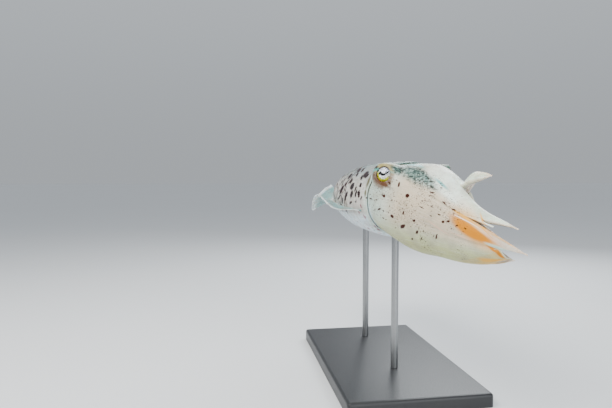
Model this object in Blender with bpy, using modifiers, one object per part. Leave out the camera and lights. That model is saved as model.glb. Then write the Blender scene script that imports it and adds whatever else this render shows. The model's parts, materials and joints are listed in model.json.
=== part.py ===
"""A life-size display model of a pharaoh cuttlefish that hovers with lowered arms, on a plain stand.

The mantle points back along -X, the head looks forward along +X and a little to its left,
and +Z is up. The origin is the middle of the stand's underside. Sizes are in metres.
"""

import math

import bmesh
import bpy
from mathutils import Matrix, Vector

MM = 0.001
GAP = 0.3 * MM  # between touching pieces

# The body's axis: it is straight through the mantle and turns in the neck and in the arms
COLLAR_PLACE = Vector((0.070, 0.0, 0.205))  # middle of the mantle's front opening
BUD_LENGTH = 0.120  # the closed arms
CROWN_AT = 0.062  # where the arms leave the head, ahead of the collar
AXIS_TURNS = (  # ahead of the collar, yaw to the left and pitch up in degrees
    (0.000, 0.0, 0.0),
    (0.017, 9.0, -5.5),
    (0.034, 16.0, -9.5),
    (0.062, 16.0, -10.0),
    (0.090, 13.0, -17.0),
    (0.120, 9.0, -12.0),
    (0.150, 6.0, -5.0),
    (0.200, 5.0, -4.0),
)

# Mantle: half sizes at its widest, and how it narrows to the tail and the collar
MANTLE_LENGTH = 0.250
MANTLE_HALF_WIDTH = 0.0490
MANTLE_UP = 0.0410
MANTLE_DOWN = 0.0425
WIDEST_AT = 0.28
COLLAR_SHRINK = 0.02
TAIL_POWER = 2.3
TAIL_ROUND = 0.62
MANTLE_SQUARENESS = 2.05
MANTLE_WALL = 0.0040
RECESS_DEPTH = 0.014
DORSAL_LOBE = 0.017  # how far the opening's edge reaches forward over the neck
LOBE_SHARPNESS = 5
FUNNEL_NOTCH = 0.010  # how far the edge falls back under the funnel
NOTCH_SHARPNESS = 4
EDGE_FADE = 6  # how fast the lobe and the notch fade behind the edge
MANTLE_SIDES = 36
MANTLE_RINGS = 18

# Fins: they run along the mantle's sides and almost meet behind the tail
FIN_ROOT_ANGLE = -15.0
FIN_START = 0.04
FIN_END = 0.975
FIN_WIDTH_FRONT = 0.002
FIN_WIDTH_REAR = 0.034
FIN_ROOT_THICKNESS = 0.0034
FIN_EDGE_THICKNESS = 0.0012
FIN_WAVE_HEIGHT = 0.017
FIN_WAVES = 1.7
FIN_PHASE = {-1: -0.515, 1: -0.30}  # of the right and the left fin, in whole waves
FIN_FULL_FROM = 0.75  # the share of the fin's length where it is at its widest
FIN_TAIL_FROM = 0.90  # behind this it narrows again, by this share of its width:
FIN_TAIL_NARROWING = 0.35
FIN_WAVE_LAG = 1.5  # above 1, the root waves less than the edge
FIN_STATIONS = 38
FIN_STEPS = 4
FIN_SUNK = 0.004

# Head: half sizes at stations ahead of the collar (along, half width, up, down)
HEAD_STATIONS = (
    (-0.0137, 0.0385, 0.0335, 0.0340),
    (0.000, 0.0405, 0.0360, 0.0370),
    (0.014, 0.0410, 0.0380, 0.0395),
    (0.030, 0.0410, 0.0405, 0.0420),
    (0.046, 0.0395, 0.0418, 0.0440),
    (0.062, 0.0370, 0.0385, 0.0435),
)
HEAD_SIDES = 36
HEAD_RINGS = 14
HEAD_SQUARENESS = 2.2
ORBIT_RISE = 0.0040
ORBIT_SPREAD = 0.017

# Eyes
EYE_ALONG = {-1: 0.0235, 1: 0.0290}  # right and left: the bent neck pushes the left one ahead
EYE_ANGLE = 36.5
EYE_SURFACE = 0.0486  # of the eye's front from the head's axis
EYE_RADIUS = 0.0110
EYE_LOOKS_UP = 12.0
EYE_LOOKS_AHEAD = 34.0
ORBIT_RADIUS = 0.0134  # the ball of flesh round the eye
LID_OPENING = 0.0084
LID_FLARE = 1.30  # how much wider the opening is at its outer end
LID_RING = 0.0096
LID_THICKNESS = 0.0018
LID_AHEAD = 0.0074  # of the lids' ring from the eye's middle
LID_SIDES = 24
LID_EDGE_SIDES = 8
BALL_SIDES = 20
BALL_RINGS = 12

# Funnel: stations ahead of the collar (along, half width, half height, middle below the axis)
FUNNEL_STATIONS = (
    (-0.0137, 0.0150, 0.0080, 0.0270),
    (0.000, 0.0145, 0.0082, 0.0285),
    (0.014, 0.0125, 0.0078, 0.0315),
    (0.028, 0.0100, 0.0070, 0.0345),
    (0.042, 0.0078, 0.0060, 0.0370),
)
FUNNEL_SIDES = 16
FUNNEL_RINGS = 6
FUNNEL_BORE = 0.60  # of the funnel's own size at its mouth
FUNNEL_BORE_DEPTH = 0.009

# Mouth: the lip and the beak in the middle of the arms (ahead of the crown, radius)
MOUTH_PROFILE = (
    (0.0000, 0.0098),
    (0.0030, 0.0108),
    (0.0062, 0.0100),
    (0.0080, 0.0072),
    (0.0076, 0.0046),
    (0.0070, 0.0034),
    (0.0092, 0.0024),
)
BEAK_TIP = 0.0112
MOUTH_SIDES = 16

# The closed arms: half sizes ahead of the crown (along, half width, up, down)
BUD_STATIONS = (
    (0.000, 0.0370, 0.0385, 0.0435),
    (0.020, 0.0325, 0.0310, 0.0400),
    (0.040, 0.0275, 0.0255, 0.0350),
    (0.060, 0.0225, 0.0215, 0.0290),
    (0.080, 0.0180, 0.0190, 0.0225),
    (0.100, 0.0140, 0.0165, 0.0145),
    (0.135, 0.0080, 0.0100, 0.0065),
)
# The arms are held closer on the left: the share of its half width that it loses, by place ahead
# of the collar
LEFT_SLIMMING = (
    (0.036, 0.0),
    (0.050, 0.12),
    (0.062, 0.23),
    (0.082, 0.30),
    (0.122, 0.30),
    (0.197, 0.10),
)
ARM_SIDES = 12
ARM_RINGS = 18
ARM_THICK = (0.0135, 0.0015)  # at the root and the tip
ARM_SQUARENESS = 2.9
ARM_TAPER_ROUND = 0.9
ARM_THINNING = 0.62
ARM_SIDE_GAP = 0.6 * GAP  # what each arm leaves free on each side
ARM_LEAST_HALF = 0.7 * MM
ARM_SLIMS_BETWEEN = (0.1, 0.5)  # the shares of the length where a slim arm narrows
ARM_SPLIT = 0.48
# A raised arm is turned by yaw, pitch, roll and droop, in degrees
RAISED_BEND = 0.15  # the share of a raised arm that bends up
RAISED_ROLLS_BY = 0.6  # the share by which it has rolled
RAISED_STEPS = 40
# Each arm fills a sector between two bounds, from the top: right side and left. Angles in degrees.
ARM_BOUNDS_ROOT = {-1: (0, 42, 56, 100, 180), 1: (0, 36, 80, 122, 180)}
ARM_BOUNDS_TIP = {-1: (0, 38, 46, 106, 180), 1: (0, 34, 76, 128, 180)}
# Slim is how much of its sector an arm keeps, aim leans it to the upper (-1) or lower (1) bound.
# Late is how near to the tip it narrows, inward how far the tip sinks in. Raised is yaw, pitch, roll.
ARMS = {
    "arm_right_1": dict(pair=0, side=-1, length=0.113, slim=1, late=3.2, aim=0, inward=0, raised=None),
    "arm_right_2": dict(pair=1, side=-1, length=0.092, slim=1, late=3.2, aim=0.4, inward=0, raised=None),
    "arm_right_3": dict(pair=2, side=-1, length=0.130, slim=1, late=4.5, aim=1, inward=0, raised=None),
    "arm_right_4": dict(pair=3, side=-1, length=0.110, slim=1, late=4.5, aim=0, inward=0, raised=None),
    "arm_left_1": dict(
        pair=0, side=1, length=0.068, slim=1.35, late=3.2, aim=0, inward=0, raised=(2, 14, 30, 20)
    ),
    "arm_left_2": dict(
        pair=1, side=1, length=0.064, slim=0.45, late=3.2, aim=1, inward=0.015, raised=None
    ),
    "arm_left_3": dict(
        pair=2, side=1, length=0.090, slim=0.6, late=3.2, aim=1, inward=0.004, raised=None
    ),
    "arm_left_4": dict(
        pair=3, side=1, length=0.100, slim=0.9, late=3.2, aim=0.4, inward=0, raised=None
    ),
}

# Suckers: two rows of cups on each arm's inner face. Sizes not in metres are shares of the radius.
SUCKERS_PER_ARM = 18
SUCKER_SPAN = (0.07, 0.965)
SUCKER_SIDES = 6
SUCKER_SHARE = 0.28  # of half the inner face's width
SUCKER_LARGEST = 0.0017
SUCKER_SMALLEST = 0.0004
SUCKER_ROW = 0.46  # how far a row is from the middle of the face
SUCKER_NECK = 0.7
SUCKER_RISE = 0.7
SUCKER_DISH = 0.25
SUCKER_SUNK = 0.0012

# Stand
BASE_LENGTH = 0.250
BASE_WIDTH = 0.150
BASE_HEIGHT = 0.014
BASE_EDGE = 0.003
ROD_RADIUS = 0.0040
ROD_SIDES = 24
ROD_REACH = 0.012  # how far a rod's blank runs up into the mantle before it is cut to fit
ROD_PLACES = {"stand_rod_front": 0.040, "stand_rod_rear": -0.080}


def finish_material(name, colour, roughness, metallic=0.0):
    """A plain Principled material in the part's own colour."""
    material = bpy.data.materials.new(name)
    material.use_nodes = True
    shader = material.node_tree.nodes["Principled BSDF"]
    shader.inputs["Base Color"].default_value = (*colour, 1.0)
    shader.inputs["Roughness"].default_value = roughness
    shader.inputs["Metallic"].default_value = metallic
    return material


def clear_scene():
    for old in list(bpy.data.objects):
        bpy.data.objects.remove(old, do_unlink=True)


def new_collection(name, hidden=False):
    made = bpy.data.collections.new(name)
    bpy.context.scene.collection.children.link(made)
    made.hide_render = hidden
    return made


def object_from(name, bm, collection):
    """Turns a finished bmesh into a named object of a collection."""
    bmesh.ops.recalc_face_normals(bm, faces=bm.faces)
    mesh = bpy.data.meshes.new(name)
    bm.to_mesh(mesh)
    bm.free()
    made = bpy.data.objects.new(name, mesh)
    collection.objects.link(made)
    return made


def smooth(share):
    share = min(1.0, max(0.0, share))
    return share * share * (3.0 - 2.0 * share)


def mix(low, high, share):
    return low + (high - low) * share


def along_table(table, at):
    """Values of a table of stations at one place, on a smooth curve through them."""
    last = len(table) - 1
    at = min(max(at, table[0][0]), table[last][0])
    index = next(i for i in range(last) if at <= table[i + 1][0] + 1e-12)
    before = table[max(0, index - 1)]
    low, high = table[index], table[index + 1]
    after = table[min(last, index + 2)]
    span = high[0] - low[0]
    share = (at - low[0]) / span
    values = []
    for column in range(1, len(low)):
        rise_low = (high[column] - before[column]) / (high[0] - before[0]) * span
        rise_high = (after[column] - low[column]) / (after[0] - low[0]) * span
        h00 = (1 + 2 * share) * (1 - share) ** 2
        h10 = share * (1 - share) ** 2
        h01 = share * share * (3 - 2 * share)
        h11 = share * share * (share - 1)
        values.append(h00 * low[column] + h10 * rise_low + h01 * high[column] + h11 * rise_high)
    return values


def superellipse(angle, squareness):
    """A point on a unit rounded square, as (sideways, upwards)."""
    power = 2.0 / squareness
    across, up = math.cos(angle), math.sin(angle)
    return math.copysign(abs(across) ** power, across), math.copysign(abs(up) ** power, up)


def ring_angles(count):
    return [2 * math.pi * k / count for k in range(count)]


def loft(rings, start_pole, end_pole):
    """A closed bmesh through rings of equal count, with a pole at each end."""
    bm = bmesh.new()
    rows = [[bm.verts.new(point) for point in ring] for ring in rings]
    count = len(rings[0])
    for row, following in zip(rows, rows[1:]):
        for k in range(count):
            after = (k + 1) % count
            bm.faces.new((row[k], row[after], following[after], following[k]))
    for row, pole in ((rows[0], start_pole), (rows[-1], end_pole)):
        middle = bm.verts.new(pole)
        for k in range(count):
            bm.faces.new((row[k], row[(k + 1) % count], middle))
    bmesh.ops.triangulate(bm, faces=bm.faces)
    return bm


def turned(yaw, pitch):
    """A turn to the left and up, in degrees."""
    return Matrix.Rotation(math.radians(yaw), 3, "Z") @ Matrix.Rotation(math.radians(-pitch), 3, "Y")


def heading(along):
    """Which way the body's axis points, some way ahead of the collar."""
    yaw, pitch = along_table(AXIS_TURNS, along)
    return turned(yaw, pitch)


def axis_place(along):
    """The point of the body's axis that is some way ahead of the collar."""
    if along <= 0.0:
        return COLLAR_PLACE + heading(0.0) @ Vector((along, 0, 0))
    steps = max(1, int(round(along / (2 * MM))))
    place = COLLAR_PLACE.copy()
    for step in range(steps):
        middle = (step + 0.5) * along / steps
        place += heading(middle) @ Vector((along / steps, 0, 0))
    return place


def body_point(along, across, up):
    """A point beside the body's axis: across to the animal's left, and up."""
    return axis_place(along) + heading(along) @ Vector((0, across, up))


def mantle_share(back):
    """How full the mantle is at a share of its length behind the collar."""
    if back < WIDEST_AT:
        return 1.0 - COLLAR_SHRINK * ((WIDEST_AT - back) / WIDEST_AT) ** 2
    rest = min(1.0, (back - WIDEST_AT) / (1.0 - WIDEST_AT))
    return max(0.0, 1.0 - rest**TAIL_POWER) ** TAIL_ROUND


def mantle_point(back, angle, grow=0.0):
    """A point of the mantle's outer skin. Angle 0 is the left edge and 90 degrees the top."""
    full = mantle_share(back)
    across, up = superellipse(angle, MANTLE_SQUARENESS)
    half_height = MANTLE_UP if up > 0 else MANTLE_DOWN
    front = (1.0 - back) ** EDGE_FADE
    lobe = DORSAL_LOBE * max(0.0, up) ** LOBE_SHARPNESS * front
    notch = FUNNEL_NOTCH * max(0.0, -up) ** NOTCH_SHARPNESS * front
    along = -back * MANTLE_LENGTH + lobe - notch + grow * front
    y = across * (MANTLE_HALF_WIDTH * full + grow)
    z = up * (half_height * full + grow)
    return COLLAR_PLACE + Vector((along, y, z))


def mantle_inner_point(back, angle, grow=0.0):
    """A point of the opening's inner wall."""
    outer = mantle_point(back, angle, grow)
    outward = Vector((0, outer.y - COLLAR_PLACE.y, outer.z - COLLAR_PLACE.z)).normalized()
    return outer - outward * (MANTLE_WALL + 2 * grow)


def mantle_mesh(grow=0.0, filled=False):
    """The mantle as one closed shell with a shallow opening round the neck, or filled up."""
    angles = ring_angles(MANTLE_SIDES)
    rings = []
    start = axis_place(0.0)
    if not filled:
        floor_share = RECESS_DEPTH / MANTLE_LENGTH
        for depth in (1.0, 0.4, 0.04):
            back = floor_share * depth
            rings.append([mantle_inner_point(back, angle, grow) for angle in angles])
        start = axis_place(-RECESS_DEPTH + grow)
        for point in rings[0]:
            point.x = start.x
    for step in range(MANTLE_RINGS):
        share = step / MANTLE_RINGS
        back = mix(share, math.sin(0.5 * math.pi * share), 0.55)
        rings.append([mantle_point(back, angle, grow) for angle in angles])
    return loft(rings, start, axis_place(-MANTLE_LENGTH - grow))


def fin_mesh(side):
    """One fin: a waved membrane, with how near each point is to its root."""
    bm = bmesh.new()
    weights = []
    rows = []
    root_angle = math.radians(FIN_ROOT_ANGLE)
    angle = root_angle if side > 0 else math.pi - root_angle
    for station in range(FIN_STATIONS + 1):
        share = station / FIN_STATIONS
        back = mix(FIN_START, FIN_END, mix(share, math.sin(0.5 * math.pi * share), 0.6))
        root = mantle_point(back, angle)
        ahead = mantle_point(max(0.0, back - 0.004), angle)
        behind = mantle_point(min(1.0, back + 0.004), angle)
        tangent = (behind - ahead).normalized()
        outward = Vector((0, 0, 1)).cross(tangent) * -side
        outward.normalize()
        growth = smooth(share / FIN_FULL_FROM)
        width = mix(FIN_WIDTH_FRONT, FIN_WIDTH_REAR, growth)
        width *= 1.0 - FIN_TAIL_NARROWING * smooth((share - FIN_TAIL_FROM) / (1.0 - FIN_TAIL_FROM))
        wave = math.sin(2 * math.pi * (FIN_WAVES * share + FIN_PHASE[side]))
        row = []
        for step in range(FIN_STEPS + 1):
            out = step / FIN_STEPS
            reach = mix(-FIN_SUNK, width, out)
            lift = FIN_WAVE_HEIGHT * growth * wave * out**FIN_WAVE_LAG
            point = root + outward * reach + Vector((0, 0, lift))
            row.append(bm.verts.new(point))
            weights.append(1.0 - out)
        rows.append(row)
    for row, following in zip(rows, rows[1:]):
        for step in range(FIN_STEPS):
            bm.faces.new((row[step], row[step + 1], following[step + 1]))
            bm.faces.new((row[step], following[step + 1], following[step]))
    return bm, weights


def left_share(along):
    """How much of its half width the left side keeps, some way ahead of the collar."""
    return 1.0 - along_table(LEFT_SLIMMING, along)[0]


def head_point(along, angle):
    """A point of the head's skin, with the swelling round each eye."""
    half_width, up_size, down_size = along_table(HEAD_STATIONS, along)
    across, up = superellipse(angle, HEAD_SQUARENESS)
    height = up_size if up > 0 else down_size
    y = across * half_width * (left_share(along) if across > 0 else 1.0)
    z = up * height
    lift = math.radians(EYE_ANGLE)
    for side in (1, -1):
        eye_y = side * math.cos(lift) * EYE_SURFACE
        eye_z = math.sin(lift) * EYE_SURFACE
        away = math.sqrt((along - EYE_ALONG[side]) ** 2 + (y - eye_y) ** 2 + (z - eye_z) ** 2)
        rise = ORBIT_RISE * math.exp(-((away / ORBIT_SPREAD) ** 2))
        y += side * math.cos(lift) * rise
        z += math.sin(lift) * rise
    return body_point(along, y, z)


def head_mesh():
    """The head from the neck in the mantle's opening to the flat ring that the arms leave."""
    angles = ring_angles(HEAD_SIDES)
    first, last = HEAD_STATIONS[0][0], HEAD_STATIONS[-1][0]
    rings = []
    for step in range(HEAD_RINGS + 1):
        along = mix(first, last, step / HEAD_RINGS)
        rings.append([head_point(along, angle) for angle in angles])
    return loft(rings, axis_place(first), axis_place(last))


def eye_place(side):
    """The middle of an eyeball and the way that it looks."""
    lift = math.radians(EYE_ANGLE)
    along = EYE_ALONG[side]
    front = body_point(along, side * math.cos(lift) * EYE_SURFACE, math.sin(lift) * EYE_SURFACE)
    up = math.radians(EYE_LOOKS_UP)
    ahead = math.radians(EYE_LOOKS_AHEAD)
    gaze = heading(along) @ Vector(
        (math.sin(ahead), side * math.cos(ahead) * math.cos(up), math.cos(ahead) * math.sin(up))
    )
    return front - gaze * EYE_RADIUS, gaze


def sphere_mesh(middle, radius):
    bm = bmesh.new()
    bmesh.ops.create_uvsphere(bm, u_segments=BALL_SIDES, v_segments=BALL_RINGS, radius=radius)
    bmesh.ops.translate(bm, verts=bm.verts, vec=middle)
    return bm


def turn_to(direction):
    """The turn that brings +Z to a direction."""
    return Vector((0, 0, 1)).rotation_difference(direction).to_matrix()


def lid_opening_mesh(middle, gaze):
    """The cutter that opens the lids in front of the eye."""
    bm = bmesh.new()
    bmesh.ops.create_cone(
        bm,
        cap_ends=True,
        segments=LID_SIDES,
        radius1=LID_OPENING * 0.5,
        radius2=LID_OPENING * LID_FLARE,
        depth=2 * EYE_RADIUS,
    )
    turn = turn_to(gaze).to_4x4()
    bmesh.ops.transform(bm, verts=bm.verts, matrix=Matrix.Translation(middle + gaze * EYE_RADIUS) @ turn)
    return bm


def lid_ring_mesh(middle, gaze):
    """The raised rim of the lids round the eye."""
    bm = bmesh.new()
    turn = turn_to(gaze)
    rows = []
    for angle in ring_angles(LID_SIDES):
        across = Vector((math.cos(angle), math.sin(angle), 0))
        row = []
        for around in ring_angles(LID_EDGE_SIDES):
            reach = LID_RING + LID_THICKNESS * math.cos(around)
            ahead = LID_AHEAD + LID_THICKNESS * math.sin(around)
            row.append(bm.verts.new(middle + turn @ (across * reach + Vector((0, 0, ahead)))))
        rows.append(row)
    for row, following in zip(rows, rows[1:] + rows[:1]):
        for k in range(LID_EDGE_SIDES):
            after = (k + 1) % LID_EDGE_SIDES
            bm.faces.new((row[k], following[k], following[after], row[after]))
    bmesh.ops.triangulate(bm, faces=bm.faces)
    return bm


def funnel_ring(along, size, grow=0.0):
    half_width, half_height, below = along_table(FUNNEL_STATIONS, along)
    ring = []
    for angle in ring_angles(FUNNEL_SIDES):
        across = math.cos(angle) * (half_width * size + grow)
        up = math.sin(angle) * (half_height * size + grow) - below
        ring.append(body_point(along, across, up))
    return ring


def funnel_middle(along, ahead=0.0):
    return body_point(along, 0, -along_table(FUNNEL_STATIONS, along)[2]) + heading(along) @ Vector(
        (ahead, 0, 0)
    )


def funnel_mesh(grow=0.0):
    """The funnel: a flattened tube under the head. The grown one is a plain cutter."""
    first, last = FUNNEL_STATIONS[0][0], FUNNEL_STATIONS[-1][0]
    rings = []
    for step in range(FUNNEL_RINGS + 1):
        rings.append(funnel_ring(mix(first, last, step / FUNNEL_RINGS), 1.0, grow))
    if grow > 0.0:
        return loft(rings, funnel_middle(first, -grow), funnel_middle(last, grow))
    rings.append(funnel_ring(last, FUNNEL_BORE))
    rings.append(funnel_ring(last - FUNNEL_BORE_DEPTH, FUNNEL_BORE * 0.8))
    return loft(rings, funnel_middle(first), funnel_middle(last - FUNNEL_BORE_DEPTH))


def mouth_mesh():
    rings = []
    for ahead, radius in MOUTH_PROFILE:
        rings.append(
            [
                body_point(CROWN_AT + GAP + ahead, radius * math.cos(angle), radius * math.sin(angle))
                for angle in ring_angles(MOUTH_SIDES)
            ]
        )
    return loft(rings, axis_place(CROWN_AT + GAP), axis_place(CROWN_AT + GAP + BEAK_TIP))


def bud_reach(ahead, around):
    """How far the closed arms' outer skin is from their axis. Around is from the top, to the left."""
    half_width, up_size, down_size = along_table(BUD_STATIONS, ahead)
    across, up = math.sin(around), math.cos(around)
    half_width *= left_share(CROWN_AT + ahead) if across > 0 else 1.0
    height = up_size if up > 0 else down_size
    total = (abs(across) / half_width) ** HEAD_SQUARENESS + (abs(up) / height) ** HEAD_SQUARENESS
    return total ** (-1.0 / HEAD_SQUARENESS)


def bud_point(ahead, around, inset):
    """A point some way below the closed arms' outer skin."""
    reach = bud_reach(ahead, around) - inset
    return body_point(CROWN_AT + ahead, math.sin(around) * reach, math.cos(around) * reach)


def arm_taper(spec, share):
    """How much of its width an arm keeps at a share of its length."""
    return max(0.0, 1.0 - share ** spec["late"]) ** ARM_TAPER_ROUND


def arm_thickness(share):
    return mix(ARM_THICK[0], ARM_THICK[1], share**ARM_THINNING) * max(0.05, 1.0 - share**6)


def arm_sector(spec, share):
    """The middle of an arm, from the top to the left, and half its width, in radians."""
    pair = spec["pair"]
    onward = smooth(share * spec["length"] / BUD_LENGTH)
    root, tip = ARM_BOUNDS_ROOT[spec["side"]], ARM_BOUNDS_TIP[spec["side"]]
    upper = mix(root[pair], tip[pair], onward)
    lower = mix(root[pair + 1], tip[pair + 1], onward)
    full = (lower - upper) / 2
    slims_from, slims_to = ARM_SLIMS_BETWEEN
    slimming = smooth((share - slims_from) / (slims_to - slims_from))
    half = full * arm_taper(spec, share) * mix(1.0, spec["slim"], slimming)
    middle = (upper + lower) / 2 + spec["aim"] * (full - half)
    return math.radians(spec["side"] * middle), math.radians(half)


def arm_middle(spec, share):
    around, half = arm_sector(spec, share)
    return bud_point(share * spec["length"], around, arm_thickness(share) / 2)


def raised_facing(spec, share):
    """The way a raised arm faces: up from the crown, then level again towards its tip."""
    yaw, pitch, _, droop = spec["raised"]
    crown = heading(CROWN_AT).to_quaternion()
    rising = crown.slerp(turned(yaw, pitch).to_quaternion(), smooth(share / RAISED_BEND))
    level = turned(yaw, pitch - droop).to_quaternion()
    return rising.slerp(level, smooth((share - RAISED_BEND) / (1.0 - RAISED_BEND)))


def raised_place(spec, share):
    """The middle of a raised arm and its frame at a share of its length."""
    steps = max(1, round(RAISED_STEPS * share))
    place = arm_middle(spec, 0.0)
    for step in range(steps):
        onward = Vector((share * spec["length"] / steps, 0, 0))
        place += raised_facing(spec, share * (step + 0.5) / steps) @ onward
    rolled = math.radians(spec["raised"][2]) * smooth(share / RAISED_ROLLS_BY)
    return place, raised_facing(spec, share).to_matrix() @ Matrix.Rotation(rolled, 3, "X")


def arm_half(spec, share):
    """Half an arm's width in radians, clear of its neighbours."""
    around, half = arm_sector(spec, share)
    reach = bud_reach(share * spec["length"], around)
    return max(half - ARM_SIDE_GAP / (reach - arm_thickness(share)), ARM_LEAST_HALF / reach)


def arm_point(spec, share, across, out):
    """A point of an arm: across its width from -1 to 1, out from -1 at its suckers to 1."""
    ahead = share * spec["length"]
    around = arm_sector(spec, share)[0]
    inset = (0.5 - 0.5 * out) * arm_thickness(share)
    point = bud_point(ahead, around + arm_half(spec, share) * across, inset)
    turn = heading(CROWN_AT + ahead)
    if spec["raised"]:
        place, raised_turn = raised_place(spec, share)
        return place + raised_turn @ turn.transposed() @ (point - arm_middle(spec, share))
    outward = turn @ Vector((0, math.sin(around), math.cos(around)))
    return point - outward * spec["inward"] * smooth(share)


def arm_mesh(spec, first, last):
    """A length of an arm between two shares of its whole length."""
    steps = max(4, round(ARM_RINGS * (last - first)))
    rings = []
    for step in range(steps + 1):
        share = mix(first, last, step / steps)
        ring = []
        for angle in ring_angles(ARM_SIDES):
            across, out = superellipse(angle, ARM_SQUARENESS)
            ring.append(arm_point(spec, share, across, out))
        rings.append(ring)
    poles = []
    for ring in (rings[0], rings[-1]):
        poles.append(sum(ring, Vector()) / len(ring))
    return loft(rings, poles[0], poles[1])


def sucker_size(spec, share):
    """The radius of a sucker at a share of its arm's length."""
    around = arm_sector(spec, share)[0]
    reach = bud_reach(share * spec["length"], around) - arm_thickness(share)
    width = reach * arm_half(spec, share)
    return min(SUCKER_LARGEST, max(SUCKER_SMALLEST, SUCKER_SHARE * width))


def sucker_mesh(spec, share, row):
    """A cup on a short root that is sunk in the arm's inner face. Row is -1 or 1."""
    radius = sucker_size(spec, share)
    across = row * SUCKER_ROW
    out = (1 - abs(across) ** ARM_SQUARENESS) ** (1 / ARM_SQUARENESS)
    face = arm_point(spec, share, across, -out)
    facing = (face - arm_point(spec, share, across, out)).normalized()
    onward = arm_point(spec, share + 0.01, across, -out) - arm_point(spec, share - 0.01, across, -out)
    beside = facing.cross(onward).normalized()
    onward = beside.cross(facing)
    sunk = min(SUCKER_SUNK, 0.4 * arm_thickness(share))
    rings = []
    for size, height in ((SUCKER_NECK, -sunk), (1.0, SUCKER_RISE * radius)):
        ring = []
        for angle in ring_angles(SUCKER_SIDES):
            spread = onward * math.cos(angle) + beside * math.sin(angle)
            ring.append(face + spread * (size * radius) + facing * height)
        rings.append(ring)
    dish = face + facing * (SUCKER_DISH * radius)
    return loft(rings, face - facing * sunk, dish)


def sucker_shares(spec):
    """Where the suckers sit along an arm, closer together towards its tip."""
    first, last = SUCKER_SPAN
    shares = []
    for k in range(SUCKERS_PER_ARM):
        shares.append(mix(first, last, (k / (SUCKERS_PER_ARM - 1)) ** 0.85))
    return shares


def apply_boolean(target, operation, other=None, collection=None):
    """Applies one Boolean to an object and keeps the result as its mesh."""
    modifier = target.modifiers.new("join_or_cut", "BOOLEAN")
    modifier.operation = operation
    if collection is not None:
        modifier.operand_type = "COLLECTION"
        modifier.collection = collection
    else:
        modifier.object = other
    graph = bpy.context.evaluated_depsgraph_get()
    graph.update()
    made = bpy.data.meshes.new_from_object(target.evaluated_get(graph))
    target.modifiers.remove(modifier)
    old = target.data
    target.data = made
    bpy.data.meshes.remove(old)


def surfaces_of(bm):
    """The separate closed surfaces of a bmesh, each as a set of faces, largest volume first."""
    unseen = set(bm.faces)
    found = []
    while unseen:
        waiting = [unseen.pop()]
        surface = set(waiting)
        while waiting:
            face = waiting.pop()
            for edge in face.edges:
                for neighbour in edge.link_faces:
                    if neighbour in unseen:
                        unseen.remove(neighbour)
                        surface.add(neighbour)
                        waiting.append(neighbour)
        found.append(surface)

    def volume(surface):
        total = 0.0
        for face in surface:
            corners = [vert.co for vert in face.verts]
            for second, third in zip(corners[1:], corners[2:]):
                total += corners[0].dot(second.cross(third)) / 6.0
        return abs(total)

    return sorted(found, key=volume, reverse=True)


def keep_largest(target):
    """Keeps only the largest closed surface."""
    bm = bmesh.new()
    bm.from_mesh(target.data)
    for surface in surfaces_of(bm)[1:]:
        bmesh.ops.delete(bm, geom=list(surface), context="FACES")
    bmesh.ops.triangulate(bm, faces=bm.faces)
    bm.to_mesh(target.data)
    bm.free()


def change_with(target, bm, collection, operation="DIFFERENCE", tidy=True):
    """Cuts a solid out of an object, or adds it, and removes the other solid's object."""
    other = object_from("other_solid", bm, collection)
    apply_boolean(target, operation, other)
    bpy.data.objects.remove(other, do_unlink=True)
    if tidy:
        keep_largest(target)


def dress(target, material):
    target.data.materials.clear()
    target.data.materials.append(material)


def build_fins(model, cutters, skin):
    for side, name in ((-1, "fin_right"), (1, "fin_left")):
        bm, weights = fin_mesh(side)
        fin = object_from(name, bm, model)
        group = fin.vertex_groups.new(name="root")
        for index, weight in enumerate(weights):
            group.add([index], weight, "REPLACE")
        shell = fin.modifiers.new("membrane", "SOLIDIFY")
        shell.thickness = FIN_ROOT_THICKNESS
        shell.offset = 0.0
        shell.vertex_group = "root"
        shell.thickness_vertex_group = FIN_EDGE_THICKNESS / FIN_ROOT_THICKNESS
        graph = bpy.context.evaluated_depsgraph_get()
        graph.update()
        solid = bpy.data.meshes.new_from_object(fin.evaluated_get(graph))
        fin.modifiers.clear()
        fin.data = solid
        change_with(fin, mantle_mesh(GAP, filled=True), cutters)
        dress(fin, skin)


def build_head(model, cutters, skin, eye_finish):
    """The head with its sockets and funnel groove, the eyeballs, the funnel and the mouth."""
    head = object_from("head", head_mesh(), model)
    for side, name in ((-1, "eye_right"), (1, "eye_left")):
        middle, gaze = eye_place(side)
        change_with(head, sphere_mesh(middle, ORBIT_RADIUS), cutters, "UNION")
        change_with(head, lid_ring_mesh(middle, gaze), cutters, "UNION")
        change_with(head, sphere_mesh(middle, EYE_RADIUS + GAP), cutters, tidy=False)
        change_with(head, lid_opening_mesh(middle, gaze), cutters)
        eye = object_from(name, sphere_mesh(middle, EYE_RADIUS), model)
        dress(eye, eye_finish)
    change_with(head, mantle_mesh(GAP), cutters)
    change_with(head, funnel_mesh(GAP), cutters)
    dress(head, skin)
    dress(object_from("funnel", funnel_mesh(), model), skin)
    dress(object_from("mouth", mouth_mesh(), model), skin)


def add_suckers(arm, spec, first, last):
    """Joins the suckers of one length of an arm to it."""
    cups = new_collection("suckers", hidden=True)
    for k, share in enumerate(sucker_shares(spec)):
        margin = (sucker_size(spec, share) + GAP) / spec["length"]
        if first + margin < share < last:
            row = 1 if k % 2 else -1
            object_from(f"sucker_{k}", sucker_mesh(spec, min(share, last - margin), row), cups)
    apply_boolean(arm, "UNION", collection=cups)
    for cup in list(cups.objects):
        bpy.data.objects.remove(cup, do_unlink=True)
    bpy.data.collections.remove(cups)
    keep_largest(arm)


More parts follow.
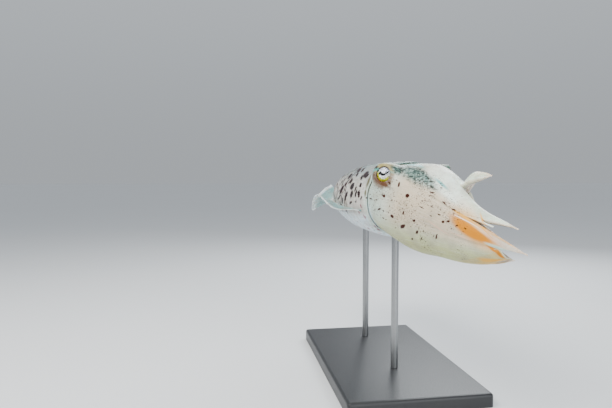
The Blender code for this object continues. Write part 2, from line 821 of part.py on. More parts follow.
def build_arms(model, skin):
    """All eight arms, each in two lengths."""
    for name, spec in ARMS.items():
        half_gap = 0.5 * GAP / spec["length"]
        lengths = (
            ("base", 2 * half_gap, ARM_SPLIT - half_gap),
            ("tip", ARM_SPLIT + half_gap, 1.0),
        )
        for part_name, first, last in lengths:
            arm = object_from(f"{name}_{part_name}", arm_mesh(spec, first, last), model)
            add_suckers(arm, spec, first, last)
            dress(arm, skin)


def build_stand(model, cutters, base_finish, steel):
    """A flat base, and two rods that are cut to the shape of the mantle's underside."""
    bm = bmesh.new()
    bmesh.ops.create_cube(bm, size=1.0)
    bmesh.ops.scale(bm, verts=bm.verts, vec=(BASE_LENGTH, BASE_WIDTH, BASE_HEIGHT))
    bmesh.ops.translate(bm, verts=bm.verts, vec=(0, 0, BASE_HEIGHT / 2))
    edges = [edge for edge in bm.edges if max(v.co.z for v in edge.verts) > BASE_HEIGHT / 2]
    bmesh.ops.bevel(bm, geom=edges, offset=BASE_EDGE, segments=3, affect="EDGES", profile=0.5)
    dress(object_from("stand_base", bm, model), base_finish)
    low = BASE_HEIGHT + GAP
    high = COLLAR_PLACE.z - MANTLE_DOWN + ROD_REACH
    for name, place_x in ROD_PLACES.items():
        bm = bmesh.new()
        bmesh.ops.create_cone(
            bm,
            cap_ends=True,
            segments=ROD_SIDES,
            radius1=ROD_RADIUS,
            radius2=ROD_RADIUS,
            depth=high - low,
        )
        bmesh.ops.translate(bm, verts=bm.verts, vec=(place_x, 0, (low + high) / 2))
        rod = object_from(name, bm, model)
        change_with(rod, mantle_mesh(GAP, filled=True), cutters)
        dress(rod, steel)


def main():
    clear_scene()
    model = new_collection("pharaoh_cuttlefish")
    cutters = new_collection("cutters", hidden=True)
    skin = finish_material("skin", (0.80, 0.76, 0.68), 0.45)
    eye_finish = finish_material("eye", (0.75, 0.78, 0.55), 0.15)
    base_finish = finish_material("stand", (0.05, 0.05, 0.055), 0.4)
    steel = finish_material("rod", (0.6, 0.6, 0.6), 0.3, 1.0)
    dress(object_from("mantle", mantle_mesh(), model), skin)
    build_fins(model, cutters, skin)
    build_head(model, cutters, skin, eye_finish)
    build_arms(model, skin)
    build_stand(model, cutters, base_finish, steel)


main()
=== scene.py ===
"""The looks of the pharaoh cuttlefish display model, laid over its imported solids."""

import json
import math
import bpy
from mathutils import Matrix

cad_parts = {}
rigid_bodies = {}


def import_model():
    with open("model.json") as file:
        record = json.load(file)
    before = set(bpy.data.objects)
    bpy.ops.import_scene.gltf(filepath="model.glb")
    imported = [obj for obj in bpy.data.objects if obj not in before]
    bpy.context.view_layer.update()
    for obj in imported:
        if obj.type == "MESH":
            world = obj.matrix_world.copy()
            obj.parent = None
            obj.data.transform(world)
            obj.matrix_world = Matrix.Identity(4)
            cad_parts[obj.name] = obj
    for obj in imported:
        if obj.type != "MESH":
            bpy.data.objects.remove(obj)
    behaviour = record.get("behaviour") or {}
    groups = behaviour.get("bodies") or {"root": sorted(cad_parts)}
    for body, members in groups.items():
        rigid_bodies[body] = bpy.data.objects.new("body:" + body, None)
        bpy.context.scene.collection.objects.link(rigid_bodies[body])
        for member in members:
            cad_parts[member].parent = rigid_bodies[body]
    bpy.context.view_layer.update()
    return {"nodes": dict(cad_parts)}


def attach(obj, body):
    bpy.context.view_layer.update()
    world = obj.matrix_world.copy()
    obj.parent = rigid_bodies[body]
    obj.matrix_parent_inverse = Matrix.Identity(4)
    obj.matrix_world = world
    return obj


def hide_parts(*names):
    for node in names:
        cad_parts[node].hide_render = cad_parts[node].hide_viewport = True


bl_info = {
    "name": "Pharaoh Cuttlefish Display Model",
    "version": (1, 0, 0),
    "blender": (4, 5, 0),
    "location": "3D View > Sidebar > Cuttlefish",
    "description": "Builds the skin, suckers, mouth, eyes, stand finish and studio of the model",
    "category": "Object",
}

from functools import cache

import bmesh
import bpy
from bpy.props import FloatProperty, FloatVectorProperty, PointerProperty
from mathutils import Matrix, Vector, kdtree, noise
from mathutils.bvhtree import BVHTree

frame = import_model()

MM = 0.001
PHOTO_WIDTH = 612
PHOTO_HEIGHT = 408

# Camera: where it stands and how it looks, found from the photograph's framing
CAMERA_PLACE = Vector((0.5957, -0.1912, 0.2283))
CAMERA_AZIMUTH = 80.8
CAMERA_TILT = -2.87
CAMERA_LENS = 30.59
SENSOR_WIDTH = 36.0

# The body's axis, as in the part: ahead of the collar, yaw to the left and pitch up in degrees
COLLAR_PLACE = Vector((0.070, 0.0, 0.205))
CROWN_AT = 0.062
BUD_LENGTH = 0.120
AXIS_TURNS = (
    (0.000, 0.0, 0.0),
    (0.017, 9.0, -5.5),
    (0.034, 16.0, -9.5),
    (0.062, 16.0, -10.0),
    (0.090, 13.0, -17.0),
    (0.120, 9.0, -12.0),
    (0.150, 6.0, -5.0),
    (0.200, 5.0, -4.0),
)
AXIS_STEP = 0.5 * MM

# Mantle, as in the part
MANTLE_LENGTH = 0.250
MANTLE_HALF_WIDTH = 0.0490
MANTLE_UP = 0.0410
MANTLE_DOWN = 0.0425
WIDEST_AT = 0.28
COLLAR_SHRINK = 0.02
TAIL_POWER = 2.3
TAIL_ROUND = 0.62
MANTLE_SQUARENESS = 2.05
DORSAL_LOBE = 0.017
LOBE_SHARPNESS = 5
FUNNEL_NOTCH = 0.010
NOTCH_SHARPNESS = 4
EDGE_FADE = 6
MANTLE_SIDES = 112
MANTLE_RINGS = 110
RIM_TUCK = (0.0004, 0.0062)  # the least and the most that the free edge curves in
RIM_GAP = 0.0008  # left between the free edge and the neck
RIM_LENGTH = 0.0095
RIM_RIDGE = 0.0005
RIM_EDGE = 0.0011
RIM_BULGE = 0.0007
RIM_BACK = 0.0006
RIM_STEPS = 6
CREASE_DEPTH = 0.0034
CREASE_STEPS = 10

# Fins, as in the part
FIN_ROOT_ANGLE = -15.0
FIN_START = 0.04
FIN_END = 0.975
FIN_WIDTH_FRONT = 0.002
FIN_WIDTH_REAR = 0.034
FIN_ROOT_THICKNESS = 0.0034
FIN_EDGE_THICKNESS = 0.0009
FIN_WAVE_HEIGHT = 0.017
FIN_WAVES = 1.7
FIN_PHASE = {-1: -0.515, 1: -0.30}
FIN_FULL_FROM = 0.75
FIN_TAIL_FROM = 0.90
FIN_TAIL_NARROWING = 0.35
FIN_WAVE_LAG = 1.5
FIN_STATIONS = 120
FIN_STEPS = 12
FIN_SUNK = 0.004
FIN_RIPPLE = 0.0007
FIN_RIPPLES = 17

# Head and closed arms: half sizes ahead of the collar (along, half width, up, down)
BODY_STATIONS = (
    (-0.0137, 0.0385, 0.0335, 0.0340),
    (0.000, 0.0405, 0.0360, 0.0370),
    (0.014, 0.0410, 0.0380, 0.0395),
    (0.030, 0.0410, 0.0405, 0.0420),
    (0.046, 0.0395, 0.0418, 0.0440),
    (0.062, 0.0370, 0.0385, 0.0435),
    (0.082, 0.0325, 0.0310, 0.0400),
    (0.102, 0.0275, 0.0255, 0.0350),
    (0.122, 0.0225, 0.0215, 0.0290),
    (0.142, 0.0180, 0.0190, 0.0225),
    (0.162, 0.0140, 0.0165, 0.0145),
    (0.197, 0.0080, 0.0100, 0.0065),
)
BODY_SQUARENESS = 2.2
# The share of its half width that the left side loses, ahead of the collar
LEFT_SLIMMING = (
    (0.036, 0.0),
    (0.050, 0.12),
    (0.062, 0.23),
    (0.082, 0.30),
    (0.122, 0.30),
    (0.197, 0.10),
)
HEAD_RINGS = 50

# Eyes, as in the part
EYE_ALONG = {-1: 0.0220, 1: 0.0280}
EYE_ANGLE = 36.5
EYE_SURFACE = 0.0486
EYE_RADIUS = 0.0110
EYE_LOOKS_UP = 12.0
EYE_LOOKS_AHEAD = 34.0
ORBIT_RADIUS = {-1: 0.0133, 1: 0.0127}
ORBIT_BLEND = 0.0090
ORBIT_SEEN = 0.034  # further along than this the ball round an eye doesn't swell the head
ORBIT_SEARCH = (-0.001, 0.020)
ORBIT_STEPS = 42
EYE_ROOM = 0.15 * MM
LID_OPENING = 0.0091
LID_RING = 0.0103
LID_THICKNESS = 0.0012
LID_AHEAD = 0.0072
LID_FOLD = 0.0006
LID_EVENINGS = 10  # how many times the skin round the lids is evened out, and by what share
LID_EVENING = 0.6
LID_SIDES = (96, 16)  # round the eye, and round the rim's own section

# Funnel: stations ahead of the collar (along, half width, half height, middle below the axis)
FUNNEL_STATIONS = (
    (-0.0137, 0.0150, 0.0080, 0.0270),
    (0.000, 0.0145, 0.0082, 0.0285),
    (0.014, 0.0125, 0.0078, 0.0315),
    (0.028, 0.0100, 0.0070, 0.0345),
    (0.042, 0.0078, 0.0060, 0.0370),
)
FUNNEL_SIDES = 40
FUNNEL_RINGS = 30
FUNNEL_BORE = 0.66
FUNNEL_BORE_DEPTH = 0.009
FUNNEL_GROOVE = 0.0006
FUNNEL_LIP = 0.0012
# The lip's rings: their size, and how far ahead they are as a share of the lip
FUNNEL_LIP_RINGS = ((0.96, 0.0), (0.88, 0.4), (0.78, 0.45), (0.70, 0.2))

# Arms, as in the part
ARM_THICK = (0.0135, 0.0015)
ARM_SQUARENESS = 2.9
ARM_TAPER_ROUND = 0.9
ARM_THINNING = 0.62
ARM_SIDE_GAP = 0.18 * MM
ARM_LEAST_HALF = 0.7 * MM
ARM_SLIMS_BETWEEN = (0.1, 0.5)
RAISED_BEND = 0.15  # the share of a raised arm that bends up
RAISED_ROLLS_BY = 0.35  # the share by which it has rolled
RAISED_STEPS = 40
ARM_BOUNDS_ROOT = {-1: (0, 42, 56, 100, 180), 1: (0, 36, 80, 122, 180)}
ARM_BOUNDS_TIP = {-1: (0, 38, 46, 106, 180), 1: (0, 34, 76, 128, 180)}
# Each arm's pair and side, its free length and slimness, how late and towards which edge it tapers,
# how far it is held inwards, and a raised one's yaw, pitch, roll and droop in degrees
ARM_WORDS = ("pair", "side", "length", "slim", "late", "aim", "inward", "raised")
ARM_ROWS = (
    ("arm_right_4", 3, -1, 0.110, 1, 4.5, 0, 0, None),
    ("arm_right_3", 2, -1, 0.130, 1, 4.5, 1, 0, None),
    ("arm_right_2", 1, -1, 0.092, 1, 3.2, 0.4, 0, None),
    ("arm_right_1", 0, -1, 0.113, 1, 3.2, 0, 0, None),
    ("arm_left_1", 0, 1, 0.068, 1.1, 3.2, 0, 0, (2, 8, 75, 8)),
    ("arm_left_2", 1, 1, 0.064, 0.6, 3.2, 1, 0.009, None),
    ("arm_left_3", 2, 1, 0.090, 0.85, 3.2, 1, 0.003, None),
    ("arm_left_4", 3, 1, 0.100, 1, 3.2, 0.4, 0, None),
)
ARMS = {name: dict(zip(ARM_WORDS, row)) for name, *row in ARM_ROWS}
# How far the web joins neighbouring arms, from the top bound to the bottom one
WEB_REACH = {-1: (0.006, 0.074, 0.056, 0.103, 0.040), 1: (0.006, 0.008, 0.016, 0.040, 0.040)}
WEB_GROOVE = 0.0007
MEMBRANE_HEIGHT = 0.0014  # of the skin fold along both sides of the suckers
ARM_COLUMNS = (14, 15, 16, 24)  # across the outer face of each pair's arms
ARM_RINGS = 62
WALL_STEPS = 6
WEB_STEPS = 24
INSIDE_STEPS = 20
BUCCAL_STEPS = 8
ARM_FREES_BY = 0.5  # the share of its free length by which an arm has its own section
# The membrane round the mouth: where it leaves the arms and where its middle is, both ahead of the
# crown, how far it swells, and the height and number of its folds
BUCCAL_AHEAD = 0.004
BUCCAL_MIDDLE = 0.002
BUCCAL_SWELL = 0.003
BUCCAL_FOLD = 0.0006
BUCCAL_FOLDS = 24

# Suckers: where they are along an arm, how far apart in radii, their least radius, and how much of
# the arm's width one fills; then where the two of each other row lie across the arm
SUCKERS_BETWEEN = (0.06, 0.975)
SUCKER_SPACING = 2.1
SUCKER_LEAST = 0.22 * MM
SUCKER_FILLS = 0.155
SUCKER_ROWS = ((-0.62, 0.22), (-0.22, 0.62))
# The steps by which a cup is drawn out: how much wider it gets, and how far it goes
CUP_STEPS = ((1.55, 0.22), (0.97, 0.22), (0.72, 0.02), (0.62, -0.34))

# Mouth
LIP_RADIUS = 0.0102
LIP_THICKNESS = 0.0030
LIPS_AHEAD = 0.0042
LIP_THROAT = (0.0030, 0.0030)  # its radius, and how far ahead of the crown it is
LIP_FRILL = 0.05
LIP_FRILLS = 30
LIP_STEPS = 14
LIP_SIDES = 120
BEAK_AHEAD = 0.0020
BEAK_RADIUS = 0.0040
BEAK_BEND = 0.0022
BEAK_LENGTH = 0.0078
BEAK_STEPS = 13
BEAK_SIDES = 20


def smooth(share):
    share = min(1.0, max(0.0, share))
    return share * share * (3.0 - 2.0 * share)


def rise(at, start, span):
    """0 up to the start, and 1 from a span beyond it."""
    return smooth((at - start) / span)


def fall(at, start, span):
    """1 up to the start, and 0 from a span beyond it."""
    return 1.0 - rise(at, start, span)


def hump(at, middle, width):
    return math.exp(-(((at - middle) / width) ** 2))


def mix(low, high, share):
    return low + (high - low) * share


def along_table(table, at):
    """Values of a table of stations at one place, on a smooth curve through them."""
    last = len(table) - 1
    at = min(max(at, table[0][0]), table[last][0])
    index = next(i for i in range(last) if at <= table[i + 1][0] + 1e-12)
    before = table[max(0, index - 1)]
    low, high = table[index], table[index + 1]
    after = table[min(last, index + 2)]
    span = high[0] - low[0]
    share = (at - low[0]) / span
    values = []
    for column in range(1, len(low)):
        rise_low = (high[column] - before[column]) / (high[0] - before[0]) * span
        rise_high = (after[column] - low[column]) / (after[0] - low[0]) * span
        h00 = (1 + 2 * share) * (1 - share) ** 2
        h10 = share * (1 - share) ** 2
        h01 = share * share * (3 - 2 * share)
        h11 = share * share * (share - 1)
        values.append(h00 * low[column] + h10 * rise_low + h01 * high[column] + h11 * rise_high)
    return values


def superellipse(angle, squareness):
    """A point on a unit rounded square, as (sideways, upwards)."""
    power = 2.0 / squareness
    across, up = math.cos(angle), math.sin(angle)
    return math.copysign(abs(across) ** power, across), math.copysign(abs(up) ** power, up)


def ring_angles(count):
    return [2 * math.pi * k / count for k in range(count)]


def turned(yaw, pitch):
    """A turn to the left and up, in degrees."""
    return Matrix.Rotation(math.radians(yaw), 3, "Z") @ Matrix.Rotation(math.radians(-pitch), 3, "Y")


def heading(along):
    """Which way the body's axis points, some way ahead of the collar."""
    yaw, pitch = along_table(AXIS_TURNS, along)
    return turned(yaw, pitch)


def axis_places():
    """The axis's points at even steps ahead of the collar."""
    places = [COLLAR_PLACE.copy()]
    count = int(AXIS_TURNS[-1][0] / AXIS_STEP)
    for step in range(count):
        places.append(places[-1] + heading((step + 0.5) * AXIS_STEP) @ Vector((AXIS_STEP, 0, 0)))
    return places


AXIS_PLACES = axis_places()


def axis_place(along):
    """The point of the body's axis that is some way ahead of the collar."""
    if along <= 0.0:
        return COLLAR_PLACE + Vector((along, 0, 0))
    at = min(along / AXIS_STEP, len(AXIS_PLACES) - 1.001)
    low = int(at)
    return AXIS_PLACES[low].lerp(AXIS_PLACES[low + 1], at - low)


def body_point(along, across, up):
    """A point beside the body's axis: across to the animal's left, and up."""
    return axis_place(along) + heading(along) @ Vector((0, across, up))


def body_reach(along, around):
    """How far the skin is from the axis. Around is from the top, to the left, in radians."""
    half_width, up_size, down_size = along_table(BODY_STATIONS, along)
    across, up = math.sin(around), math.cos(around)
    if across > 0:
        half_width *= 1.0 - along_table(LEFT_SLIMMING, along)[0]
    height = up_size if up > 0 else down_size
    total = (abs(across) / half_width) ** BODY_SQUARENESS + (abs(up) / height) ** BODY_SQUARENESS
    return total ** (-1.0 / BODY_SQUARENESS)


def eye_middle(side):
    """The eyeball's middle beside the axis (along, across, up), and the way that it looks."""
    lift = math.radians(EYE_ANGLE)
    up = math.radians(EYE_LOOKS_UP)
    ahead = math.radians(EYE_LOOKS_AHEAD)
    gaze = Vector(
        (math.sin(ahead), side * math.cos(ahead) * math.cos(up), math.cos(ahead) * math.sin(up))
    )
    front = Vector((0, side * math.cos(lift) * EYE_SURFACE, math.sin(lift) * EYE_SURFACE))
    return front - gaze * EYE_RADIUS, gaze


@cache
def eye_place(side):
    """The eyeball's middle and the turn whose Z is the way that it looks and Y is up."""
    along = EYE_ALONG[side]
    turn = heading(along)
    offset, gaze = eye_middle(side)
    gaze = (turn @ gaze).normalized()
    beside = Vector((0, 0, 1)).cross(gaze).normalized()
    up = gaze.cross(beside)
    axes = Matrix((beside, up, gaze)).transposed()
    return axis_place(along) + turn @ offset, axes


def soft_union(first, second, blend):
    """The smaller of two distances, rounded where they are alike."""
    near = max(blend - abs(first - second), 0.0) / blend
    return min(first, second) - near * near * blend / 4


def head_point(along, around):
    """A point of the head's skin, swollen smoothly over the ball round each eye."""
    reach = body_reach(along, around)
    beside = Vector((math.sin(around), math.cos(around)))
    for side in (1, -1):
        offset, _ = eye_middle(side)
        ahead = along - EYE_ALONG[side] - offset.x
        if abs(ahead) > ORBIT_SEEN or beside.x * side < -0.4:
            continue
        best = reach
        for step in range(ORBIT_STEPS + 1):
            out = mix(reach + ORBIT_SEARCH[1], reach + ORBIT_SEARCH[0], step / ORBIT_STEPS)
            y = beside.x * out - offset.y
            z = beside.y * out - offset.z
            ball = math.sqrt(ahead * ahead + y * y + z * z) - ORBIT_RADIUS[side]
            if soft_union(out - reach, ball, ORBIT_BLEND) <= 0.0:
                best = out
                break
        reach = max(reach, best)
    return body_point(along, beside.x * reach, beside.y * reach)


def bud_point(ahead, around, inset):
    """A point some way below the closed arms' outer skin."""
    reach = body_reach(CROWN_AT + ahead, around) - inset
    return body_point(CROWN_AT + ahead, math.sin(around) * reach, math.cos(around) * reach)


def arm_thickness(share):
    return mix(ARM_THICK[0], ARM_THICK[1], share**ARM_THINNING) * max(0.05, 1.0 - share**6)


def arm_bounds(spec, ahead):
    """The upper and lower bound of an arm's sector, in degrees from the top."""
    pair = spec["pair"]
    onward = smooth(ahead / BUD_LENGTH)
    root, tip = ARM_BOUNDS_ROOT[spec["side"]], ARM_BOUNDS_TIP[spec["side"]]
    upper = mix(root[pair], tip[pair], onward)
    lower = mix(root[pair + 1], tip[pair + 1], onward)
    return upper, lower


def column_around(spec, across, ahead):
    """The angle round the closed arms of a column of an arm's full sector, in radians."""
    upper, lower = arm_bounds(spec, ahead)
    return math.radians(spec["side"] * (upper + lower) / 2 + (lower - upper) / 2 * across)


def arm_sector(spec, share):
    """The middle of an arm, from the top to the left, and half its width, in radians."""
    upper, lower = arm_bounds(spec, share * spec["length"])
    full = (lower - upper) / 2
    taper = max(0.0, 1.0 - share ** spec["late"]) ** ARM_TAPER_ROUND
    slims_from, slims_to = ARM_SLIMS_BETWEEN
    slimming = rise(share, slims_from, slims_to - slims_from)
    half = full * taper * mix(1.0, spec["slim"], slimming)
    middle = (upper + lower) / 2 + spec["aim"] * (full - half)
    return math.radians(spec["side"] * middle), math.radians(half)


def arm_half(spec, share):
    """Half an arm's width in radians, clear of its neighbours."""
    around, half = arm_sector(spec, share)
    reach = body_reach(CROWN_AT + share * spec["length"], around)
    return max(half - ARM_SIDE_GAP / (reach - arm_thickness(share)), ARM_LEAST_HALF / reach)


def raised_facing(spec, share):
    """The way a raised arm faces: up from the crown, then level again towards its tip."""
    yaw, pitch, _, droop = spec["raised"]
    crown = heading(CROWN_AT).to_quaternion()
    rising = crown.slerp(turned(yaw, pitch).to_quaternion(), smooth(share / RAISED_BEND))
    level = turned(yaw, pitch - droop).to_quaternion()
    return rising.slerp(level, rise(share, RAISED_BEND, 1.0 - RAISED_BEND))


def raised_place(spec, share):
    """The middle of a raised arm and its turn at a share of its length."""
    steps = max(1, round(RAISED_STEPS * share))
    around, _ = arm_sector(spec, 0.0)
    place = bud_point(0.0, around, ARM_THICK[0] / 2)
    for step in range(steps):
        onward = Vector((share * spec["length"] / steps, 0, 0))
        place += raised_facing(spec, share * (step + 0.5) / steps) @ onward
    rolled = math.radians(spec["raised"][2]) * smooth(share / RAISED_ROLLS_BY)
    return place, raised_facing(spec, share).to_matrix() @ Matrix.Rotation(rolled, 3, "X")


class ArmStation:
    """What every point of an arm's section at one share of its length needs."""

    def __init__(self, spec, share):
        self.spec = spec
        self.ahead = share * spec["length"]
        self.around, _ = arm_sector(spec, share)
        self.half = arm_half(spec, share)
        self.thick = arm_thickness(share)
        turn = heading(CROWN_AT + self.ahead)
        self.middle = bud_point(self.ahead, self.around, self.thick / 2)
        outward = turn @ Vector((0, math.sin(self.around), math.cos(self.around)))
        self.place = self.middle - outward * spec["inward"] * smooth(share)
        self.moved = Matrix.Identity(3)
        if spec["raised"]:
            self.place, raised_turn = raised_place(spec, share)
            self.moved = raised_turn @ turn.transposed()

    def point(self, across, out):
        inset = (0.5 - 0.5 * out) * self.thick
        point = bud_point(self.ahead, self.around + self.half * across, inset)
        return self.place + self.moved @ (point - self.middle)


@cache
def arm_station(name, share):
    return ArmStation(ARMS[name], share)


def rounded(across, out):
    """A point of a square's edge, drawn in to an arm's rounded section."""
    total = abs(across) ** ARM_SQUARENESS + abs(out) ** ARM_SQUARENESS
    size = total ** (-1.0 / ARM_SQUARENESS)
    return across * size, out * size


def web_groove(across, ahead):
    """How deep the groove between neighbouring arms is in the web's outer skin."""
    return WEB_GROOVE * hump(abs(across), 1.0, 0.13) * rise(ahead, -0.004, 0.03)


def web_reach(spec, across):
    """How far ahead of the crown the web ends at one column of an arm."""
    webs = WEB_REACH[spec["side"]]
    upper, lower = webs[spec["pair"]], webs[spec["pair"] + 1]
    share = 0.5 + 0.5 * across * spec["side"]
    return mix(upper, lower, smooth(share))


class SkinMesh:
    """A growing mesh that remembers, for each vertex, which form of the animal it lies on."""

    def __init__(self):
        self.bm = bmesh.new()
        self.places = []
        self.facts = []

    def add(self, place, **facts):
        vert = self.bm.verts.new(place)
        self.places.append(Vector(place))
        self.facts.append(facts)
        return vert

    def face(self, *verts):
        unique = []
        for vert in verts:
            if vert not in unique:
                unique.append(vert)
        if len(unique) > 2:
            self.bm.faces.new(unique)

    def strip(self, row, following, closed=True):
        count = len(row)
        for k in range(count if closed else count - 1):
            after = (k + 1) % count
            self.face(row[k], row[after], following[after], following[k])

    def loft(self, rows):
        for row, following in zip(rows, rows[1:]):
            self.strip(row, following)

    def cap(self, row, middle):
        for k in range(len(row)):
            self.face(row[k], row[(k + 1) % len(row)], middle)


def mantle_share(back):
    """How full the mantle is at a share of its length behind the collar."""
    if back < WIDEST_AT:
        return 1.0 - COLLAR_SHRINK * ((WIDEST_AT - back) / WIDEST_AT) ** 2
    rest = min(1.0, (back - WIDEST_AT) / (1.0 - WIDEST_AT))
    return max(0.0, 1.0 - rest**TAIL_POWER) ** TAIL_ROUND


def mantle_point(back, angle):
    """A point of the mantle's outer skin. Angle 0 is the left edge and 90 degrees the top."""
    full = mantle_share(back)
    across, up = superellipse(angle, MANTLE_SQUARENESS)
    half_height = MANTLE_UP if up > 0 else MANTLE_DOWN
    front = (1.0 - back) ** EDGE_FADE
    lobe = DORSAL_LOBE * max(0.0, up) ** LOBE_SHARPNESS * front
    notch = FUNNEL_NOTCH * max(0.0, -up) ** NOTCH_SHARPNESS * front
    along = -back * MANTLE_LENGTH + lobe - notch
    y = across * MANTLE_HALF_WIDTH * full
    z = up * half_height * full
    return COLLAR_PLACE + Vector((along, y, z))


@cache
def rim_tuck(angle):
    """How far the free edge curves in to lie close to the neck."""
    rim = mantle_point(0.0, angle) - COLLAR_PLACE
    outward = math.hypot(rim.y, rim.z)
    neck = head_point(max(rim.x, BODY_STATIONS[0][0]), math.atan2(rim.y, rim.z)) - COLLAR_PLACE
    room = outward - math.hypot(neck.y, neck.z) - RIM_GAP - RIM_EDGE
    return min(RIM_TUCK[1], max(RIM_TUCK[0], room))


def drawn_in(point, depth):
    """A point of the mantle moved towards its middle line."""
    flat = Vector((0, point.y - COLLAR_PLACE.y, point.z - COLLAR_PLACE.z)).normalized()
    return point - flat * depth


def rim_place(angle):
    """A point of the mantle's free edge, curved in towards the neck."""
    return drawn_in(mantle_point(0.0, angle), rim_tuck(angle))


def crease_floor(angle):
    """The point of the neck where the crease behind the mantle's rim begins."""
    rim = rim_place(angle)
    along = max(BODY_STATIONS[0][0], rim.x - COLLAR_PLACE.x - CREASE_DEPTH)
    around = math.atan2(rim.y - COLLAR_PLACE.y, rim.z - COLLAR_PLACE.z)
    return head_point(along, around).lerp(axis_place(along), 0.02)


def add_mantle(skin):
    """The mantle's outside, its thin rounded rim and the shallow crease round the neck."""
    angles = ring_angles(MANTLE_SIDES)
    rows = []

    def add_ring(places, back, inner):
        row = []
        for angle, place in zip(angles, places):
            around = math.pi / 2 - angle
            row.append(skin.add(place, form="mantle", around=around, back=back, inner=inner))
        rows.append(row)

    necks = [crease_floor(angle) for angle in angles]
    for step in range(CREASE_STEPS):
        share = step / CREASE_STEPS
        places = []
        for angle, neck in zip(angles, necks):
            inside = drawn_in(rim_place(angle), RIM_EDGE)
            inside.x -= RIM_BACK
            place = neck.lerp(inside, share)
            place.x += (inside.x - neck.x) * (share**1.7 - share)
            places.append(place)
        add_ring(places, 0.0, 1.0 - 0.8 * share)
    for step in range(RIM_STEPS + 1):
        turn = math.pi * step / RIM_STEPS
        depth = RIM_EDGE * (0.5 + 0.5 * math.cos(turn))
        places = [drawn_in(rim_place(angle), depth) for angle in angles]
        for place in places:
            place.x += RIM_BULGE * math.sin(turn) - RIM_BACK
        add_ring(places, 0.0, 0.1)
    for step in range(1, MANTLE_RINGS):
        share = step / MANTLE_RINGS
        back = mix(share**1.25, math.sin(0.5 * math.pi * share), 0.5 * share)
        behind = back * MANTLE_LENGTH
        tucked = math.exp(-((behind / RIM_LENGTH) ** 1.5))
        ridge = RIM_RIDGE * (hump(behind, 0.006, 0.0035) - 0.8 * hump(behind, 0.0125, 0.003))
        places = [mantle_point(back, angle) for angle in angles]
        depths = [rim_tuck(angle) * tucked - ridge for angle in angles]
        add_ring([drawn_in(*pair) for pair in zip(places, depths)], back, 0.0)
    skin.loft(rows)
    for row, along, back in ((rows[0], -CREASE_DEPTH, 0.0), (rows[-1], -MANTLE_LENGTH, 1.0)):
        facts = dict(form="mantle", around=math.pi / 2, back=back, inner=1.0 - back)
        skin.cap(row, skin.add(axis_place(along), **facts))


def fin_membrane(side):
    """Rows of points of one fin's middle surface, from the root outwards, with shares."""
    root_angle = math.radians(FIN_ROOT_ANGLE)
    angle = root_angle if side > 0 else math.pi - root_angle
    rows = []
    for station in range(FIN_STATIONS + 1):
        share = station / FIN_STATIONS
        back = mix(FIN_START, FIN_END, mix(share, math.sin(0.5 * math.pi * share), 0.6))
        root = mantle_point(back, angle)
        ahead = mantle_point(max(0.0, back - 0.004), angle)
        behind = mantle_point(min(1.0, back + 0.004), angle)
        tangent = (behind - ahead).normalized()
        outward = (Vector((0, 0, 1)).cross(tangent) * -side).normalized()
        growth = smooth(share / FIN_FULL_FROM)
        width = mix(FIN_WIDTH_FRONT, FIN_WIDTH_REAR, growth)
        width *= 1.0 - FIN_TAIL_NARROWING * rise(share, FIN_TAIL_FROM, 1.0 - FIN_TAIL_FROM)
        wave = math.sin(2 * math.pi * (FIN_WAVES * share + FIN_PHASE[side]))
        ripple = FIN_RIPPLE * math.sin(2 * math.pi * FIN_RIPPLES * share) * growth
        row = []
        for step in range(FIN_STEPS + 1):
            out = step / FIN_STEPS
            reach = mix(-FIN_SUNK, width - 0.0005, out)
            lift = FIN_WAVE_HEIGHT * growth * wave * out**FIN_WAVE_LAG + ripple * out**4
            row.append(root + outward * reach + Vector((0, 0, lift)))
        rows.append((share, row))
    return rows


def add_fin(skin, side):
    """One fin as a thin closed skin with a rounded edge."""
    rows = fin_membrane(side)
    sections = []
    for index, (share, row) in enumerate(rows):
        before = rows[max(0, index - 1)][1]
        after = rows[min(len(rows) - 1, index + 1)][1]
        upper, lower = [], []
        for step, point in enumerate(row):
            inner = row[max(0, step - 1)]
            outer = row[min(FIN_STEPS, step + 1)]
            normal = (outer - inner).cross(after[step] - before[step]).normalized()
            normal *= math.copysign(1.0, normal.z)
            out = step / FIN_STEPS
            thick = mix(FIN_ROOT_THICKNESS, FIN_EDGE_THICKNESS, smooth(out * 1.2)) / 2
            thick *= 0.4 if step == FIN_STEPS else 1.0
            facts = dict(form="fin", side=side, share=share, out=out)
            upper.append(skin.add(point + normal * thick, top=1.0, **facts))
            lower.append(skin.add(point - normal * thick, top=0.0, **facts))
        sections.append(upper + lower[::-1])
    skin.loft(sections)
    for section in (sections[0], sections[-1]):
        for k in range(len(section) // 2 - 1):
            skin.face(section[k], section[k + 1], section[-2 - k], section[-1 - k])


def arm_columns():
    """Every column of the closed arms: its arm's name and facts, and where it lies across."""
    columns = []
    for name, spec in ARMS.items():
        count = ARM_COLUMNS[spec["pair"]]
        columns += [(name, spec, -1.0 + 2.0 * k / count) for k in range(count)]
    return columns


def add_head(skin, columns):
    """The outside of the head and the web. Returns the row where the web ends."""
    first = BODY_STATIONS[0][0]
    rows = []
    for ring in range(HEAD_RINGS + 1):
        along = mix(first, CROWN_AT, ring / HEAD_RINGS)
        row = []
        for _, spec, across in columns:
            around = column_around(spec, across, 0.0)
            row.append(skin.add(head_point(along, around), form="head", along=along, around=around))
        rows.append(row)
    for ring in range(1, WEB_STEPS + 1):
        row = []
        for _, spec, across in columns:
            ahead = web_reach(spec, across) * ring / WEB_STEPS
            around = column_around(spec, across, ahead)
            place = bud_point(ahead, around, web_groove(across, ahead))
            row.append(skin.add(place, form="head", along=CROWN_AT + ahead, around=around))
        rows.append(row)
    skin.loft(rows)
    skin.cap(rows[0], skin.add(axis_place(first), form="head", along=first, around=0.0))
    return rows[-1]


